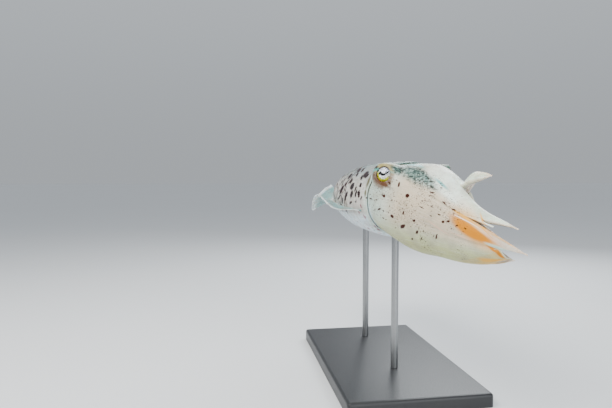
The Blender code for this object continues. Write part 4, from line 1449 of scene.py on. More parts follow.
# Marks seen in the photograph. Each has both its ends as pixels across and down, and its width in
# pixels. Soft ones fade from their middle. They are laid on the skin where the camera sees them.
SOFT = (0.25, 1.15)
MILD = (0.55, 1.15)
CRISP = (0.80, 1.15)
PHOTO_MARKS = {
    "spot": (
        CRISP,
        (405.4, 194.4, 409.4, 196.8, 4.4), (400.4, 227.6, 405, 224.9, 3.8),
        (383.2, 197.4, 384.8, 194.6, 2.5), (390.4, 215, 393.8, 217.6, 2.8),
        (415.7, 233.2, 418.3, 230.8, 2.6), (411.2, 239, 413, 238.2, 1.8),
        (419.2, 206.2, 423.6, 207.2, 2), (399.4, 181.8, 398.5, 187.4, 2.1),
        (402.6, 214.4, 404.2, 210.6, 1.3), (412.6, 220.2, 415.6, 221, 2.3),
        (429, 191.6, 435, 193.4, 1.3), (430, 195.4, 434, 196, 0.9),
        (442.2, 201.4, 446, 204.8, 1.9), (437, 213.6, 440.6, 214.4, 1.4),
        (451.2, 208.8, 456, 210.6, 1.4), (441.2, 222.6, 444.8, 221.6, 2.1),
        (446.2, 221.2, 449.8, 220.8, 2.5), (455.8, 225.2, 458.4, 226.2, 2.1),
        (436.8, 234, 435.2, 238.8, 1.6), (434.2, 234.6, 433.6, 237.6, 0.9),
        (430.4, 206.6, 433.4, 207.4, 1), (416, 198.2, 417.4, 199.2, 1.5),
        (377.6, 209.4, 380.8, 208.6, 2), (373.6, 210.2, 375.8, 209.6, 1.1),
        (382.4, 210.4, 384.2, 211.4, 1), (366, 198.6, 367.4, 196.6, 1.6),
        (369.4, 198.2, 372, 199.4, 1.7), (369.4, 195.2, 370.8, 193.8, 1),
        (375.6, 199.6, 377.4, 200.4, 1.1), (420.2, 241.4, 422.2, 236.8, 1),
        (396.4, 179.4, 397.2, 180.8, 1.3), (393.2, 195.8, 394.2, 196.8, 1),
        (396, 200.8, 397.2, 201.4, 0.9), (410.6, 205.2, 413.2, 206, 1),
        (424.4, 200.4, 426.2, 201, 0.9), (429.6, 215.2, 431.8, 216, 1),
        (382.4, 217.6, 384, 218.6, 1.1), (385, 220.4, 386.6, 219.6, 1.1),
        (395.2, 227.6, 396.4, 228.2, 1.1), (410, 227.4, 411.2, 226.6, 1),
        (463.6, 228.2, 465.6, 229, 1.4), (389, 210.8, 390.2, 210.2, 0.9),
        (388, 181.2, 390.6, 184.4, 1.8),
    ),
    "blotch": (
        (0.90, 1.28),
        (368, 171.2, 364.2, 177.2, 3.6), (363, 175, 360.4, 179.6, 2),
        (364.6, 167.6, 361.6, 171.6, 1.6), (360.8, 168, 357.4, 172.4, 2.4),
        (377.4, 165.6, 373.6, 168.8, 2.2), (358.2, 172.6, 356.2, 176.4, 1.4),
        (351.6, 174, 348, 178.6, 2), (352.4, 178.8, 349.6, 183.4, 2),
        (353.6, 183, 350.8, 189.4, 3.2), (356.4, 186.4, 354.8, 190.6, 1.6),
        (346.8, 182, 344.8, 186.8, 1.4), (343, 186.4, 340, 193.4, 2.4),
        (340.4, 194.6, 338, 199.4, 1.2), (347, 191.8, 344.6, 200.2, 2.2),
        (352.6, 190.4, 350.6, 197.4, 2.6), (356.6, 190.2, 355.2, 196.2, 1.7),
        (358.8, 190.6, 358.6, 197, 2.4), (361.4, 182.2, 359.8, 187, 1.5),
        (351.6, 201, 350, 204, 2.2), (361.4, 196.4, 360.6, 199.6, 1.3),
        (356.2, 200.6, 355.4, 202.6, 1.2),
    ),
    "purple": (
        CRISP,
        (360.2, 204, 361.4, 208, 1.5), (363.2, 214.8, 365.6, 218.4, 1.7),
        (373.2, 224.8, 377.2, 228, 1.6), (376.4, 228.6, 380.4, 230.4, 1.4),
        (377.4, 231.6, 382, 233.8, 1.4), (366.6, 227, 370.2, 229.8, 1.1),
        (358.4, 211.6, 359.6, 214.2, 1),
    ),
    "mottle": (
        SOFT,
        (390, 164, 436, 181, 20), (406, 167, 440, 187, 15),
        (388, 162.5, 418, 165.5, 6), (394, 167, 432, 177, 14),
        (391, 164, 404, 176, 9),
    ),
    # Teal: painted blue light on the top's skin, seen at a grazing angle
    "teal": (
        SOFT,
        (360, 172.5, 390, 166.5, 3.2), (400, 163.5, 430, 166.5, 3.6),
        (434, 175, 448, 192, 4),
    ),
    # painted shade of the groove between the right third and fourth arms, in the orange of their skin
    "orange_groove_shade": (
        MILD,
        (448.5, 213.5, 494.5, 250, 13), (486, 245, 508, 257.5, 4),
    ),
    "wash": (
        SOFT,
        (444, 209, 506, 255, 26),
    ),
    "bar": (
        MILD,
        (396, 162.6, 411, 162.4, 2.6),
    ),
    "orange_edge": (
        MILD,
        (452, 211, 473, 220.5, 3), (467, 217, 500, 239.5, 2.6),
        (476, 261, 511, 259.5, 3.2),
    ),
    "line": (
        MILD,
        (451, 211.5, 483, 231, 1.2), (472, 203.5, 506, 223, 1.2),
    ),
    "pink": (
        SOFT,
        (480, 230, 506, 248, 7), (424, 222.5, 452, 234, 1.8),
        (448, 232.5, 480, 243.5, 1.7), (474, 243, 498, 250.5, 1.5),
    ),
    "strip": (
        MILD,
        (486, 242, 511, 254.5, 3),
    ),
    # Brown: the skin's own brown round the eye with painted shade below and beside it
    "brown": (
        SOFT,
        (371.5, 180.5, 390, 184, 5), (374.5, 170, 371.5, 182, 5),
        (391, 164.5, 396.5, 173, 5), (387.5, 180, 392, 186.5, 2.4),
    ),
    # Crease: painted shadow along the crease between the mantle's rim and the head
    "crease": (
        SOFT,
        (372.5, 171, 364.8, 192, 3.4), (365.6, 187, 365, 199, 2.4),
    ),
}
# How strongly each kind of mark covers the skin, and its colour
MARK_LOOKS = (
    ("bar", 0.85, (0.045, 0.028, 0.020)),
    # painted blue light on the top's skin
    ("teal", 0.80, (0.05, 0.34, 0.34)),
    ("pink", 0.55, (0.78, 0.47, 0.34)),
    ("wash", 0.55, (0.80, 0.40, 0.06)),
    ("orange_edge", 0.80, (0.82, 0.40, 0.04)),
    # painted shade of the groove between the right third and fourth arms
    ("orange_groove_shade", 0.98, (0.60, 0.21, 0.0)),
    ("strip", 0.70, (0.46, 0.74, 0.68)),
    ("line", 0.60, (0.97, 0.97, 0.92)),
    # painted shadow along the collar's crease
    ("crease", 0.90, (0.085, 0.065, 0.018)),
    # the skin's own brown round the eye with painted shade
    ("brown", 0.85, (0.085, 0.030, 0.010)),
    ("purple", 0.85, (0.24, 0.06, 0.09)),
    ("blotch", 1.00, (0.012, 0.002, 0.003)),
)
RAGGED_MARKS = ("blotch", "purple", "brown", "bar")  # those with an uneven outline
MARK_STEP = 1.5  # how many pixels beside a mark's middle the skin is measured
MARK_JUMP = 0.012  # a larger change of the lie than this is another part of the skin


def camera_axes():
    """The camera's turn: it looks along its azimuth, tilted by some degrees."""
    azimuth = math.radians(CAMERA_AZIMUTH)
    tilt = math.radians(CAMERA_TILT)
    look = Vector(
        (-math.sin(azimuth) * math.cos(tilt), math.cos(azimuth) * math.cos(tilt), math.sin(tilt))
    )
    return look.to_track_quat("-Z", "Y").to_matrix()


def pixel_ray(across, down):
    """The direction in which the camera sees a pixel of the photograph."""
    focal = CAMERA_LENS / SENSOR_WIDTH * PHOTO_WIDTH
    local = Vector((across - PHOTO_WIDTH / 2, PHOTO_HEIGHT / 2 - down, -focal))
    return (camera_axes() @ local).normalized()


def lie_at_pixel(skin, tree, across, down):
    """The lie of the skin where the camera sees a pixel, taken as on the right side."""
    place, _, index, _ = tree.ray_cast(CAMERA_PLACE, pixel_ray(across, down))
    if place is None:
        return None
    mesh = skin.data
    polygon = mesh.polygons[index]
    total = Vector((0, 0))
    weight = 0.0
    for loop, vertex in zip(polygon.loop_indices, polygon.vertices):
        near = 1.0 / ((mesh.vertices[vertex].co - place).length_squared + 1e-9)
        total += Vector(mesh.uv_layers["lie"].data[loop].uv) * near
        weight += near
    lie = total / weight
    return Vector((lie.x, -abs(lie.y)))


def mark_measures(skin, tree, mark):
    """A mark's middle on the skin and the two measures that are 1 at its edge."""
    x0, y0, x1, y1, width = mark
    x, y = (x0 + x1) / 2, (y0 + y1) / 2
    middle = lie_at_pixel(skin, tree, x, y)
    if middle is None:
        raise RuntimeError(f"no skin at pixel {x}, {y}")
    slopes = []
    for right, below in ((MARK_STEP, 0.0), (0.0, MARK_STEP)):
        found = []
        for sign in (1, -1):
            near = lie_at_pixel(skin, tree, x + sign * right, y + sign * below)
            if near is not None and (near - middle).length < MARK_JUMP:
                found.append((near - middle) * sign / MARK_STEP)
        if not found:
            raise RuntimeError(f"no even skin round pixel {x}, {y}")
        slopes.append(sum(found, Vector((0, 0))) / len(found))
    along = Vector(((x1 - x0) / 2, (y1 - y0) / 2))
    aside = Vector((-along.y, along.x)).normalized() * width / 2
    first = slopes[0] * along.x + slopes[1] * along.y
    second = slopes[0] * aside.x + slopes[1] * aside.y
    turn = first.x * second.y - first.y * second.x
    return (
        (*middle, 0.0),
        (second.y / turn, -second.x / turn, 0.0),
        (-first.y / turn, first.x / turn, 0.0),
    )


def marks_of_kind(board, skin, tree, group, lie, kind):
    """The mask of all marks of one kind."""
    edges, *marks = PHOTO_MARKS[kind]
    names = ("Inside", "Outside", "Middle", "First", "Second")
    total = None
    for mark in marks:
        values = (*edges, *mark_measures(skin, tree, mark))
        mask = board.group(group, {"Lie": lie, **dict(zip(names, values))})["Mask"]
        total = mask if total is None else board.math("MAXIMUM", total, mask)
    return total


def scattered(board, group, lie, along, across, slant, size, kept, seed):
    """The mask of a field of scattered marks."""
    names = ("Lie", "Along", "Across", "Slant", "Size", "Kept", "Seed")
    values = (lie, along, across, slant, size, kept, seed)
    return board.group(group, dict(zip(names, values)))["Mask"]


def shaken_lie(board, lie, objects, scale, amount):
    """The lie of the skin, moved about a little from place to place."""
    shake = board.noise(objects, scale, 3.0, 0.6, output="Color")
    centred = board.vector("SUBTRACT", shake, (0.5, 0.5, 0.5))[0]
    small = board.node("ShaderNodeVectorMath", {0: centred, "Scale": amount}, operation="SCALE")
    return board.vector("ADD", lie, small.outputs[0])[0]


def folded_lie(board, lie):
    """The lie of the skin with its left side folded over to the right, so that both look alike."""
    parts = board.node("ShaderNodeSeparateXYZ", {0: lie}).outputs
    across = board.times(board.math("ABSOLUTE", parts[1]), -1.0)
    return board.node("ShaderNodeCombineXYZ", {0: parts[0], 1: across}).outputs[0]


def uneven_tint(board, tint, objects, streak):
    """The painted tint with soft blotches, lines along the body and a fine speckle."""
    blotch = board.noise(objects, 70.0, 4.0, 0.6)
    darker = board.colour(0.50, tint, (0.36, 0.33, 0.25))
    colour = board.colour(board.range(blotch, 0.38, 0.70), tint, darker)
    pale = board.colour(0.5, tint, (0.95, 0.95, 0.92))
    colour = board.colour(board.times(board.range(streak, 0.50, 0.70), 0.45), colour, pale)
    speck = board.range(board.noise(objects, 1300.0, 3.0, 0.65), 0.52, 0.68)
    brown = board.colour(0.7, colour, (0.16, 0.10, 0.07))
    return board.colour(board.times(speck, 0.45), colour, brown)


def mottled(board, colour, patch, objects, dark):
    """The dark mottle on top of the head: a green ground, darker flecks and paler ones."""
    colour = board.cover(colour, patch, 0.92, (0.085, 0.17, 0.15))
    cloud = board.noise(objects, 330.0, 5.0, 0.68, 0.5)
    fleck = board.times(board.range(cloud, 0.46, 0.57), board.range(patch, 0.03, 0.5))
    colour = board.cover(colour, fleck, 0.92, dark)
    light = board.times(board.range(cloud, 0.46, 0.36), board.range(patch, 0.1, 0.8))
    return board.cover(colour, light, 0.5, (0.55, 0.66, 0.60))


def fin_cover(board, clear, lie, clearness):
    """How solid the fins' thin skin is: less so outwards, more along its rays and at its edge."""
    thin = board.range(clear, 0.2, 1.0, 1.0, 1.0 - clearness)
    rays = board.noise(board.scaled(lie, 900.0, 60.0), 1.0, 2.0)
    rays = board.times(board.range(rays, 0.45, 0.65), board.range(clear, 0.1, 0.5))
    thin = board.math("MULTIPLY_ADD", rays, 0.16, thin)
    edge = board.times(board.range(clear, 0.93, 0.99), 0.35)
    return board.math("ADD", thin, edge, clamp=True)


# Scattered marks: how close they are along and across, their size, how many are kept, and a seed.
# The blotches on the mantle's back have their own colours
BACK_BLOTCHES = (
    (210.0, 92.0, 0.37, 0.80, 3.7, (0.016, 0.003, 0.005)),
    (400.0, 180.0, 0.32, 0.40, 9.1, (0.034, 0.008, 0.010)),
)
SCATTERED_SPOTS = (
    (150.0, 170.0, 0.13, 0.22, 1.3),
    (330.0, 380.0, 0.19, 0.42, 5.9),
    (700.0, 820.0, 0.24, 0.55, 2.4),
)


def skin_material(skin, settings):
    """The skin: painted tints, placed and scattered marks, mottle, speckle and a painted gleam."""
    mark = shared_group(mark_group, "one mark")
    scatter = shared_group(scatter_group, "scattered marks")
    board = Finish("cuttlefish skin")
    objects = board.objects()
    lie = board.node("ShaderNodeUVMap", uv_map="lie").outputs[0]
    tint = board.attribute("tint")["Color"]
    marks = board.attribute("marks")
    spotted, dashed, placed = board.node("ShaderNodeSeparateColor", {0: marks["Color"]}).outputs
    # where the painted gleam lies
    gleam = marks["Alpha"]
    clear = board.attribute("clear")["Fac"]

    # the lie, shaken so that no mark has a plain outline, and folded over to one side
    shaken = shaken_lie(board, lie, objects, 520.0, 0.0026)
    ragged = shaken_lie(board, lie, objects, 340.0, 0.0062)
    folded, folded_ragged, folded_even = [folded_lie(board, one) for one in (shaken, ragged, lie)]

    streak = board.noise(board.scaled(lie, 45.0, 800.0), 1.0, 4.0, 0.6)
    colour = uneven_tint(board, tint, objects, streak)

    # the marks that the photograph shows, each where it lies on the skin
    points = [vert.co for vert in skin.data.vertices]
    tree = BVHTree.FromPolygons(points, [face.vertices for face in skin.data.polygons])

    def placed_marks(kind, under):
        return board.times(marks_of_kind(board, skin, tree, mark, under, kind), placed)

    for kind, strength, deep in MARK_LOOKS:
        mask = placed_marks(kind, folded_ragged if kind in RAGGED_MARKS else folded_even)
        colour = board.cover(colour, mask, strength, deep)
    patch = placed_marks("mottle", folded)
    colour = mottled(board, colour, patch, objects, settings.mottle_colour)

    for along, across, size, kept, seed, deep in BACK_BLOTCHES:
        mask = scattered(board, scatter, ragged, along, across, 0.30, size, kept, seed)
        colour = board.cover(colour, mask, dashed, deep)

    # the scattered spots stand in clusters, and the placed ones are laid over them
    cluster = board.range(board.noise(objects, 38.0, 2.0), 0.42, 0.62)
    for along, across, size, weak, seed in SCATTERED_SPOTS:
        kept = board.times(board.times(spotted, weak), cluster)
        mask = scattered(board, scatter, shaken, along, across, 0.2, size, kept, seed)
        colour = board.cover(colour, mask, 0.85, settings.spot_colour)
    colour = board.colour(placed_marks("spot", folded), colour, settings.spot_colour)

    # the belly's silver gleam: a painted sheen, pale patches over its colour where the silvery skin
    # shines
    sheen = board.noise(board.scaled(lie, 120.0, 260.0), 1.0, 3.0, 0.7)
    bright = board.times(board.range(sheen, 0.45, 0.65), gleam)
    colour = board.cover(colour, bright, 0.7, (0.95, 0.98, 1.0))

    height = fine_grain(board, objects, 700.0)
    ridges = board.math("MULTIPLY_ADD", streak, 0.8, height["Height"])
    return board.shade(
        {
            "Base Color": colour,
            "Roughness": board.range(height["Variation"], 0.3, 0.7, 0.36, 0.52),
            "Normal": board.bump(ridges, 0.35, 0.0006),
            "Alpha": fin_cover(board, clear, lie, settings.fin_clearness),
            "Subsurface Weight": settings.softness,
            "Subsurface Radius": (1.0, 0.6, 0.4),
            "Subsurface Scale": 0.0025,
            "IOR": 1.24,
            "Coat Weight": 0.03,
            "Coat Roughness": 0.25,
        }
    )


RGB = dict(size=3, min=0.0, max=1.0)


class SkinSettings(bpy.types.PropertyGroup):
    """Sizes and colours of the skin."""

    spot_colour: FloatVectorProperty(
        name="Spot colour",
        description="Colour of the spots on the head and the arms",
        default=(0.040, 0.008, 0.004),
        subtype="COLOR",
        **RGB,
    )
    mottle_colour: FloatVectorProperty(
        name="Mottle colour",
        description="Colour of the dark flecks on top of the head",
        default=(0.018, 0.034, 0.030),
        subtype="COLOR",
        **RGB,
    )
    fin_clearness: FloatProperty(
        name="Fin clearness",
        description="How much shows through the fins' outer edge",
        default=0.55,
        subtype="FACTOR",
        min=0.0,
        max=1.0,
    )
    softness: FloatProperty(
        name="Softness",
        description="How much light spreads below the skin",
        default=0.12,
        subtype="FACTOR",
        min=0.0,
        max=1.0,
    )
    sucker_size: FloatProperty(
        name="Sucker size",
        description="Radius of the largest suckers",
        default=0.0013,
        min=0.0005,
        max=0.003,
        unit="LENGTH",
    )


class EyeSettings(bpy.types.PropertyGroup):
    """Colours of the eyes."""

    iris_colour: FloatVectorProperty(
        name="Iris colour",
        description="Colour of the silvery part of the iris",
        default=(0.96, 0.98, 1.0),
        subtype="COLOR",
        **RGB,
    )
    ring_colour: FloatVectorProperty(
        name="Ring colour",
        description="Colour of the bright ring at the iris's lower edge",
        default=(0.66, 0.72, 0.012),
        subtype="COLOR",
        **RGB,
    )


class StageSettings(bpy.types.PropertyGroup):
    """The studio round the model."""

    key_power: FloatProperty(
        name="Key light",
        description="Power of the large light above",
        default=21.0,
        min=0.0,
        unit="POWER",
    )
    floor_colour: FloatVectorProperty(
        name="Floor colour",
        description="Colour of the floor",
        default=(0.70, 0.71, 0.72),
        subtype="COLOR",
        **RGB,
    )


class BuildSkin(bpy.types.Operator):
    """Make the skin of the mantle, fins, head, funnel and arms in one piece"""

    bl_idname = "cuttlefish.build_skin"
    bl_label = "Skin"

    def execute(self, context):
        head = SkinMesh()
        add_head_and_arms(head)
        head_object = object_from("cuttlefish_skin", head.bm)
        cutter = SkinMesh()
        add_funnel(cutter, FUNNEL_GROOVE)
        apply_boolean(head_object, "DIFFERENCE", object_from("groove", cutter.bm))
        open_eyes(head_object)
        relax(head_object, near_eyes, LID_EVENINGS, LID_EVENING)
        rest = SkinMesh()
        add_mantle(rest)
        add_fin(rest, -1)
        add_fin(rest, 1)
        add_funnel(rest)
        rest_object = object_from("rest_of_skin", rest.bm)
        select_only(head_object, rest_object)
        bpy.ops.object.join()
        head_object.data.shade_smooth()
        paint_skin(head_object, head.places + rest.places, head.facts + rest.facts)
        finish = skin_material(head_object, context.scene.cuttlefish_skin)
        head_object.data.materials.append(finish)
        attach(head_object, "root")
        flesh = [name for name in frame["nodes"] if name.startswith(("arm_", "fin_"))]
        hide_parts("mantle", "head", "funnel", *flesh)
        return {"FINISHED"}


def sucker_cup():
    """One sucker, modelled once: a short neck, a rolled rim and a deep cup. Z points out of it."""
    bpy.ops.object.select_all(action="DESELECT")
    bpy.ops.mesh.primitive_cylinder_add(vertices=8, radius=0.62, depth=0.5, location=(0, 0, 0.0))
    cup = bpy.context.object
    bpy.ops.object.mode_set(mode="EDIT")
    bpy.ops.mesh.select_mode(type="FACE")
    bpy.ops.mesh.select_all(action="DESELECT")
    bm = bmesh.from_edit_mesh(cup.data)
    for face in bm.faces:
        face.select = face.normal.z > 0.9
    bmesh.update_edit_mesh(cup.data)
    for size, lift in CUP_STEPS:
        bpy.ops.mesh.extrude_region_move(TRANSFORM_OT_translate={"value": (0, 0, lift)})
        bpy.ops.transform.resize(value=(size, size, 1.0))
    bpy.ops.object.mode_set(mode="OBJECT")
    return cup


class BuildSuckers(bpy.types.Operator):
    """Set four rows of suckers on the inner face of every arm, out to its tip"""

    bl_idname = "cuttlefish.build_suckers"
    bl_label = "Suckers"

    def execute(self, context):
        cup = sucker_cup()
        finish = sucker_material()
        largest = context.scene.cuttlefish_skin.sucker_size
        for name, spec in ARMS.items():
            bm = bmesh.new()
            row = 0
            share, last = SUCKERS_BETWEEN
            while share < last:
                size = self.place_row(bm, cup, name, share, row, largest)
                share = round(share + SUCKER_SPACING * size / spec["length"], 4)
                row += 1
            suckers = object_from(f"{name}_suckers", bm)
            suckers.data.materials.append(finish)
            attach(suckers, "root")
        bpy.data.objects.remove(cup, do_unlink=True)
        return {"FINISHED"}

    def place_row(self, bm, cup, name, share, row, largest):
        """Places the two suckers of one row and returns their radius."""
        station = arm_station(name, share)
        reach = body_reach(CROWN_AT + station.ahead, station.around) - station.thick
        radius = min(largest, max(SUCKER_LEAST, SUCKER_FILLS * station.half * reach))
        for across in SUCKER_ROWS[row % 2]:
            face = arm_place(name, share, across, -1.0)
            onward = arm_place(name, round(share + 0.01, 4), across, -1.0) - face
            aside = arm_place(name, share, across + 0.05, -1.0) - face
            facing = aside.cross(onward).normalized()
            if facing.dot(face - arm_place(name, share, across, 1.0)) < 0:
                facing = -facing
            beside = facing.cross(onward).normalized()
            forward = beside.cross(facing)
            turn = Matrix((forward, beside, facing)).transposed().to_4x4()
            copy = cup.data.copy()
            copy.transform(Matrix.Translation(face) @ turn @ Matrix.Scale(radius, 4))
            bm.from_mesh(copy)
            bpy.data.meshes.remove(copy)
        return radius


def sucker_material():
    """Pale horn and flesh, a little darker in places."""
    board = Finish("suckers")
    fine = fine_grain(board, board.objects(), 900.0)
    share = board.range(fine["Variation"], 0.35, 0.65)
    return board.shade(
        {
            "Base Color": board.colour(share, (0.78, 0.72, 0.62), (0.62, 0.52, 0.44)),
            "Normal": board.bump(fine["Height"], 0.2, 0.0002),
            "Roughness": 0.38,
            "Subsurface Weight": 0.15,
            "Subsurface Scale": 0.002,
        }
    )


class BuildMouth(bpy.types.Operator):
    """Make the lips and the beak in the middle of the arms"""

    bl_idname = "cuttlefish.build_mouth"
    bl_label = "Mouth"

    def execute(self, context):
        place = Matrix.Translation(axis_place(CROWN_AT)) @ heading(CROWN_AT).to_4x4()
        profile = []
        for step in range(LIP_STEPS + 1):
            angle = math.radians(mix(-80, 200, step / LIP_STEPS))
            radius = LIP_RADIUS - LIP_THICKNESS + LIP_THICKNESS * math.cos(angle)
            profile.append((radius, LIPS_AHEAD + LIP_THICKNESS * math.sin(angle)))
        profile.append(LIP_THROAT)
        rings = []
        for radius, ahead in profile:
            ring = []
            for angle in ring_angles(LIP_SIDES):
                frill = LIP_FRILL * math.sin(LIP_FRILLS * angle) * rise(ahead, 0.003, 0.003)
                out = radius * (1.0 + frill)
                ring.append(place @ Vector((ahead, out * math.sin(angle), out * math.cos(angle))))
            rings.append(ring)
        bm = bmesh.new()
        self.closed(bm, rings)
        lips = object_from("mouth_lips", bm)
        lips.data.materials.append(sucker_material())
        bm = bmesh.new()
        for side, size in ((1, 1.0), (-1, 0.85)):
            rings = []
            for share in [step / BEAK_STEPS for step in range(BEAK_STEPS)]:
                radius = BEAK_RADIUS * size * (1.0 - share) ** 0.7
                bend = side * BEAK_BEND * (1.0 - share**2)
                ahead = BEAK_AHEAD + BEAK_LENGTH * size * share
                ring = []
                for angle in ring_angles(BEAK_SIDES):
                    up = bend + 0.55 * radius * math.sin(angle)
                    ring.append(place @ Vector((ahead, radius * math.cos(angle), up)))
                rings.append(ring)
            self.closed(bm, rings)
        beak = object_from("mouth_beak", bm)
        beak.data.materials.append(beak_material())
        for piece in (lips, beak):
            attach(piece, "root")
        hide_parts("mouth")
        return {"FINISHED"}

    def closed(self, bm, rings):
        """Adds a skin over rings of points, closed flat at both ends."""
        rows = add_loft(bm, rings)
        bm.faces.new(rows[0])
        bm.faces.new(rows[-1])


def beak_material():
    """Dark horn, browner in places."""
    board = Finish("beak")
    layers = board.range(board.noise(board.objects(), 700.0, 4.0, 0.6), 0.3, 0.7)
    colour = board.colour(layers, (0.015, 0.008, 0.006), (0.08, 0.035, 0.018))
    return board.shade({"Base Color": colour, "Roughness": 0.22})


BALL_RADIUS = EYE_RADIUS - 0.7 * MM
BALL_RINGS = 90
BALL_SIDES = 128
DOME_REACH = math.radians(62)
DOME_RINGS = 26
DOME_SIDES = 72
CORNEA = 0.28 * MM
EYE_BACK = (0.10, 0.06, 0.04)
IRIS_FRINGE = Vector((0.46, 0.17, 0.008))
IRIS_BLUE = Vector((0.30, 0.36, 0.62))
PUPIL_BLACK = Vector((0.002, 0.002, 0.003))
# The pupil in mm: half its width; then from its rear end (-1) to its front one, how high its middle
# lies and half its thickness
PUPIL_HALF = 5.7
PUPIL_STATIONS = (
    (-1.0, 0.1, 1.1),
    (-0.6, 1.0, 1.5),
    (-0.2, -0.2, 1.35),
    (0.1, -1.0, 1.25),
    (0.55, 0.5, 1.1),
    (1.0, 2.2, 0.85),
)


def pupil_depth(across, up):
    """How deep inside the W-shaped pupil a point of the iris is, in mm. Below 0 it is outside."""
    share = across / PUPIL_HALF
    if abs(share) > 1.0:
        return -1.0
    middle, thick = along_table(PUPIL_STATIONS, share)
    return thick * (1.0 - share**6) ** 0.5 - abs(up - middle)


def ball_point(angle, around, radius):
    """A point of a ball, by its angle from the front and the one round it."""
    flat = math.sin(angle)
    return Vector((flat * math.cos(around), flat * math.sin(around), math.cos(angle))) * radius


class BuildEyes(bpy.types.Operator):
    """Make both eyeballs with their W-shaped pupils under clear corneas"""

    bl_idname = "cuttlefish.build_eyes"
    bl_label = "Eyes"

    def execute(self, context):
        settings = context.scene.cuttlefish_eye
        iris = iris_material()
        clear = cornea_material()
        for side, word in ((-1, "right"), (1, "left")):
            middle, axes = eye_place(side)
            ball = self.ball(f"eye_{word}_ball", middle, axes, side, settings)
            ball.data.materials.append(iris)
            cornea = object_from(f"eye_{word}_cornea", self.dome(middle, axes))
            cornea.data.materials.append(clear)
            for piece in (ball, cornea):
                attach(piece, "root")
            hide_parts(f"eye_{word}")
        return {"FINISHED"}

    def ball(self, name, middle, axes, side, settings):
        """The eyeball: rings round the way it looks, with the pupil sunk into the iris."""
        rings, colours = [], []
        for angle in [math.pi * (ring / BALL_RINGS) ** 1.6 for ring in range(1, BALL_RINGS)]:
            ring = []
            for around in ring_angles(BALL_SIDES):
                place = ball_point(angle, around, BALL_RADIUS)
                depth, tint = self.iris(place.x / MM, place.y / MM, math.cos(angle), side, settings)
                ring.append(middle + axes @ (place - Vector((0, 0, depth))))
                colours.extend((*tint, 1.0))
            rings.append(ring)
        bm = bmesh.new()
        rows = add_loft(bm, rings)
        for row, out in ((rows[0], 1.0), (rows[-1], -1.0)):
            depth, tint = self.iris(0.0, 0.0, out, side, settings)
            close_to_point(bm, row, middle + axes @ Vector((0, 0, out * BALL_RADIUS - depth)))
            colours.extend((*tint, 1.0))
        ball = object_from(name, bm)
        layer = ball.data.attributes.new("iris", "FLOAT_COLOR", "POINT")
        layer.data.foreach_set("color", colours)
        return ball

    def iris(self, across, up, facing, side, settings):
        """How far a point of the eye's front sinks in, and its colour. Across and up in mm."""
        if facing < 0.0:
            return 0.0, EYE_BACK
        # the photographed right eye's pupil rises towards the front, the left one's mirrors it
        inside = pupil_depth(across * -side, up)
        reach = math.hypot(across, up)
        low = smooth(0.55 - (up + 0.5 * across * -side) / max(reach, 0.01))
        edge = rise(reach, 4.2, 1.1) * low
        colour = Vector(settings.iris_colour).lerp(Vector(settings.ring_colour), edge)
        colour = colour.lerp(IRIS_FRINGE, rise(reach, 6.7, 0.7))
        colour = colour.lerp(IRIS_BLUE, 0.5 * rise(up, 1.4, 1.4) * (1 - edge))
        fibre = 0.5 + 0.5 * noise.noise(Vector((18 * math.atan2(up, across), reach * 0.8, 0.0)))
        colour = (colour * mix(0.82, 1.08, fibre)).lerp(PUPIL_BLACK, rise(inside, -0.12, 0.24))
        return 1.6 * MM * smooth(inside / 0.5) - 0.25 * MM * hump(inside, -0.5, 0.35), colour

    def dome(self, middle, axes):
        """The clear cornea, closed behind by its own inner face."""
        rings = []
        rounds = range(1, DOME_RINGS + 1)
        for radius, order in ((EYE_RADIUS, rounds), (EYE_RADIUS - CORNEA, rounds[::-1])):
            for angle in [DOME_REACH * ring / DOME_RINGS for ring in order]:
                ring = [ball_point(angle, around, radius) for around in ring_angles(DOME_SIDES)]
                rings.append([middle + axes @ point for point in ring])
        bm = bmesh.new()
        rows = add_loft(bm, rings)
        for row, ahead in ((rows[0], EYE_RADIUS), (rows[-1], EYE_RADIUS - CORNEA)):
            close_to_point(bm, row, middle + axes @ Vector((0, 0, ahead)))
        return bm


def iris_material():
    """The iris: its painted colours with fine pale flecks, and a faint painted glow."""
    board = Finish("iris")
    tint = board.attribute("iris")["Color"]
    sparkle = board.noise(board.objects(), 2600.0, 3.0, 0.6)
    share = board.times(board.range(sparkle, 0.5, 0.75), 0.35)
    colour = board.colour(share, tint, (1.0, 1.0, 1.0), "OVERLAY")
    return board.shade(
        {
            "Base Color": colour,
            "Normal": board.bump(sparkle, 0.15, 0.0002),
            # a painted glow of the iris's own colour, so that it looks brighter though it is no lamp
            "Emission Color": colour,
            "Emission Strength": 0.22,
            "Roughness": 0.45,
            "Specular IOR Level": 0.12,
        }
    )


def cornea_material():
    """Clear, wet and thin."""
    clear = {"Base Color": (1, 1, 1, 1), "Roughness": 0.03, "IOR": 1.34, "Transmission Weight": 1.0}
    return Finish("cornea").shade(clear)


class FinishStand(bpy.types.Operator):
    """Give the stand's base and rods their finishes"""

    bl_idname = "cuttlefish.finish_stand"
    bl_label = "Stand"

    def execute(self, context):
        base = self.finish("stand satin black", (0.016, 0.016, 0.018), 0.38, 0.0, 0.06)
        steel = self.finish("stand steel", (0.34, 0.345, 0.35), 0.34, 1.0, 0.02)
        finishes = {"stand_base": base, "stand_rod_front": steel, "stand_rod_rear": steel}
        for name, finish in finishes.items():
            node = frame["nodes"][name]
            node.data.materials.clear()
            node.data.materials.append(finish)
        return {"FINISHED"}

    def finish(self, name, colour, roughness, metallic, depth):
        """A smooth finish whose tone and gloss vary a little."""
        board = Finish(name)
        fine = fine_grain(board, board.objects(), 9000.0)
        share = board.range(fine["Variation"], 0.35, 0.65)
        return board.shade(
            {
                "Base Color": board.colour(share, colour, Vector(colour) * 0.92),
                "Roughness": board.range(share, 0, 1, roughness - 0.05, roughness + 0.08),
                "Normal": board.bump(fine["Height"], depth, 0.0001),
                "Metallic": metallic,
            }
        )


HORIZON_TONE = (0.62, 0.66, 0.70)
SKY_TONE = (0.84, 0.90, 0.96)
LIGHTS_AIM = Vector((0.06, 0.0, 0.20))


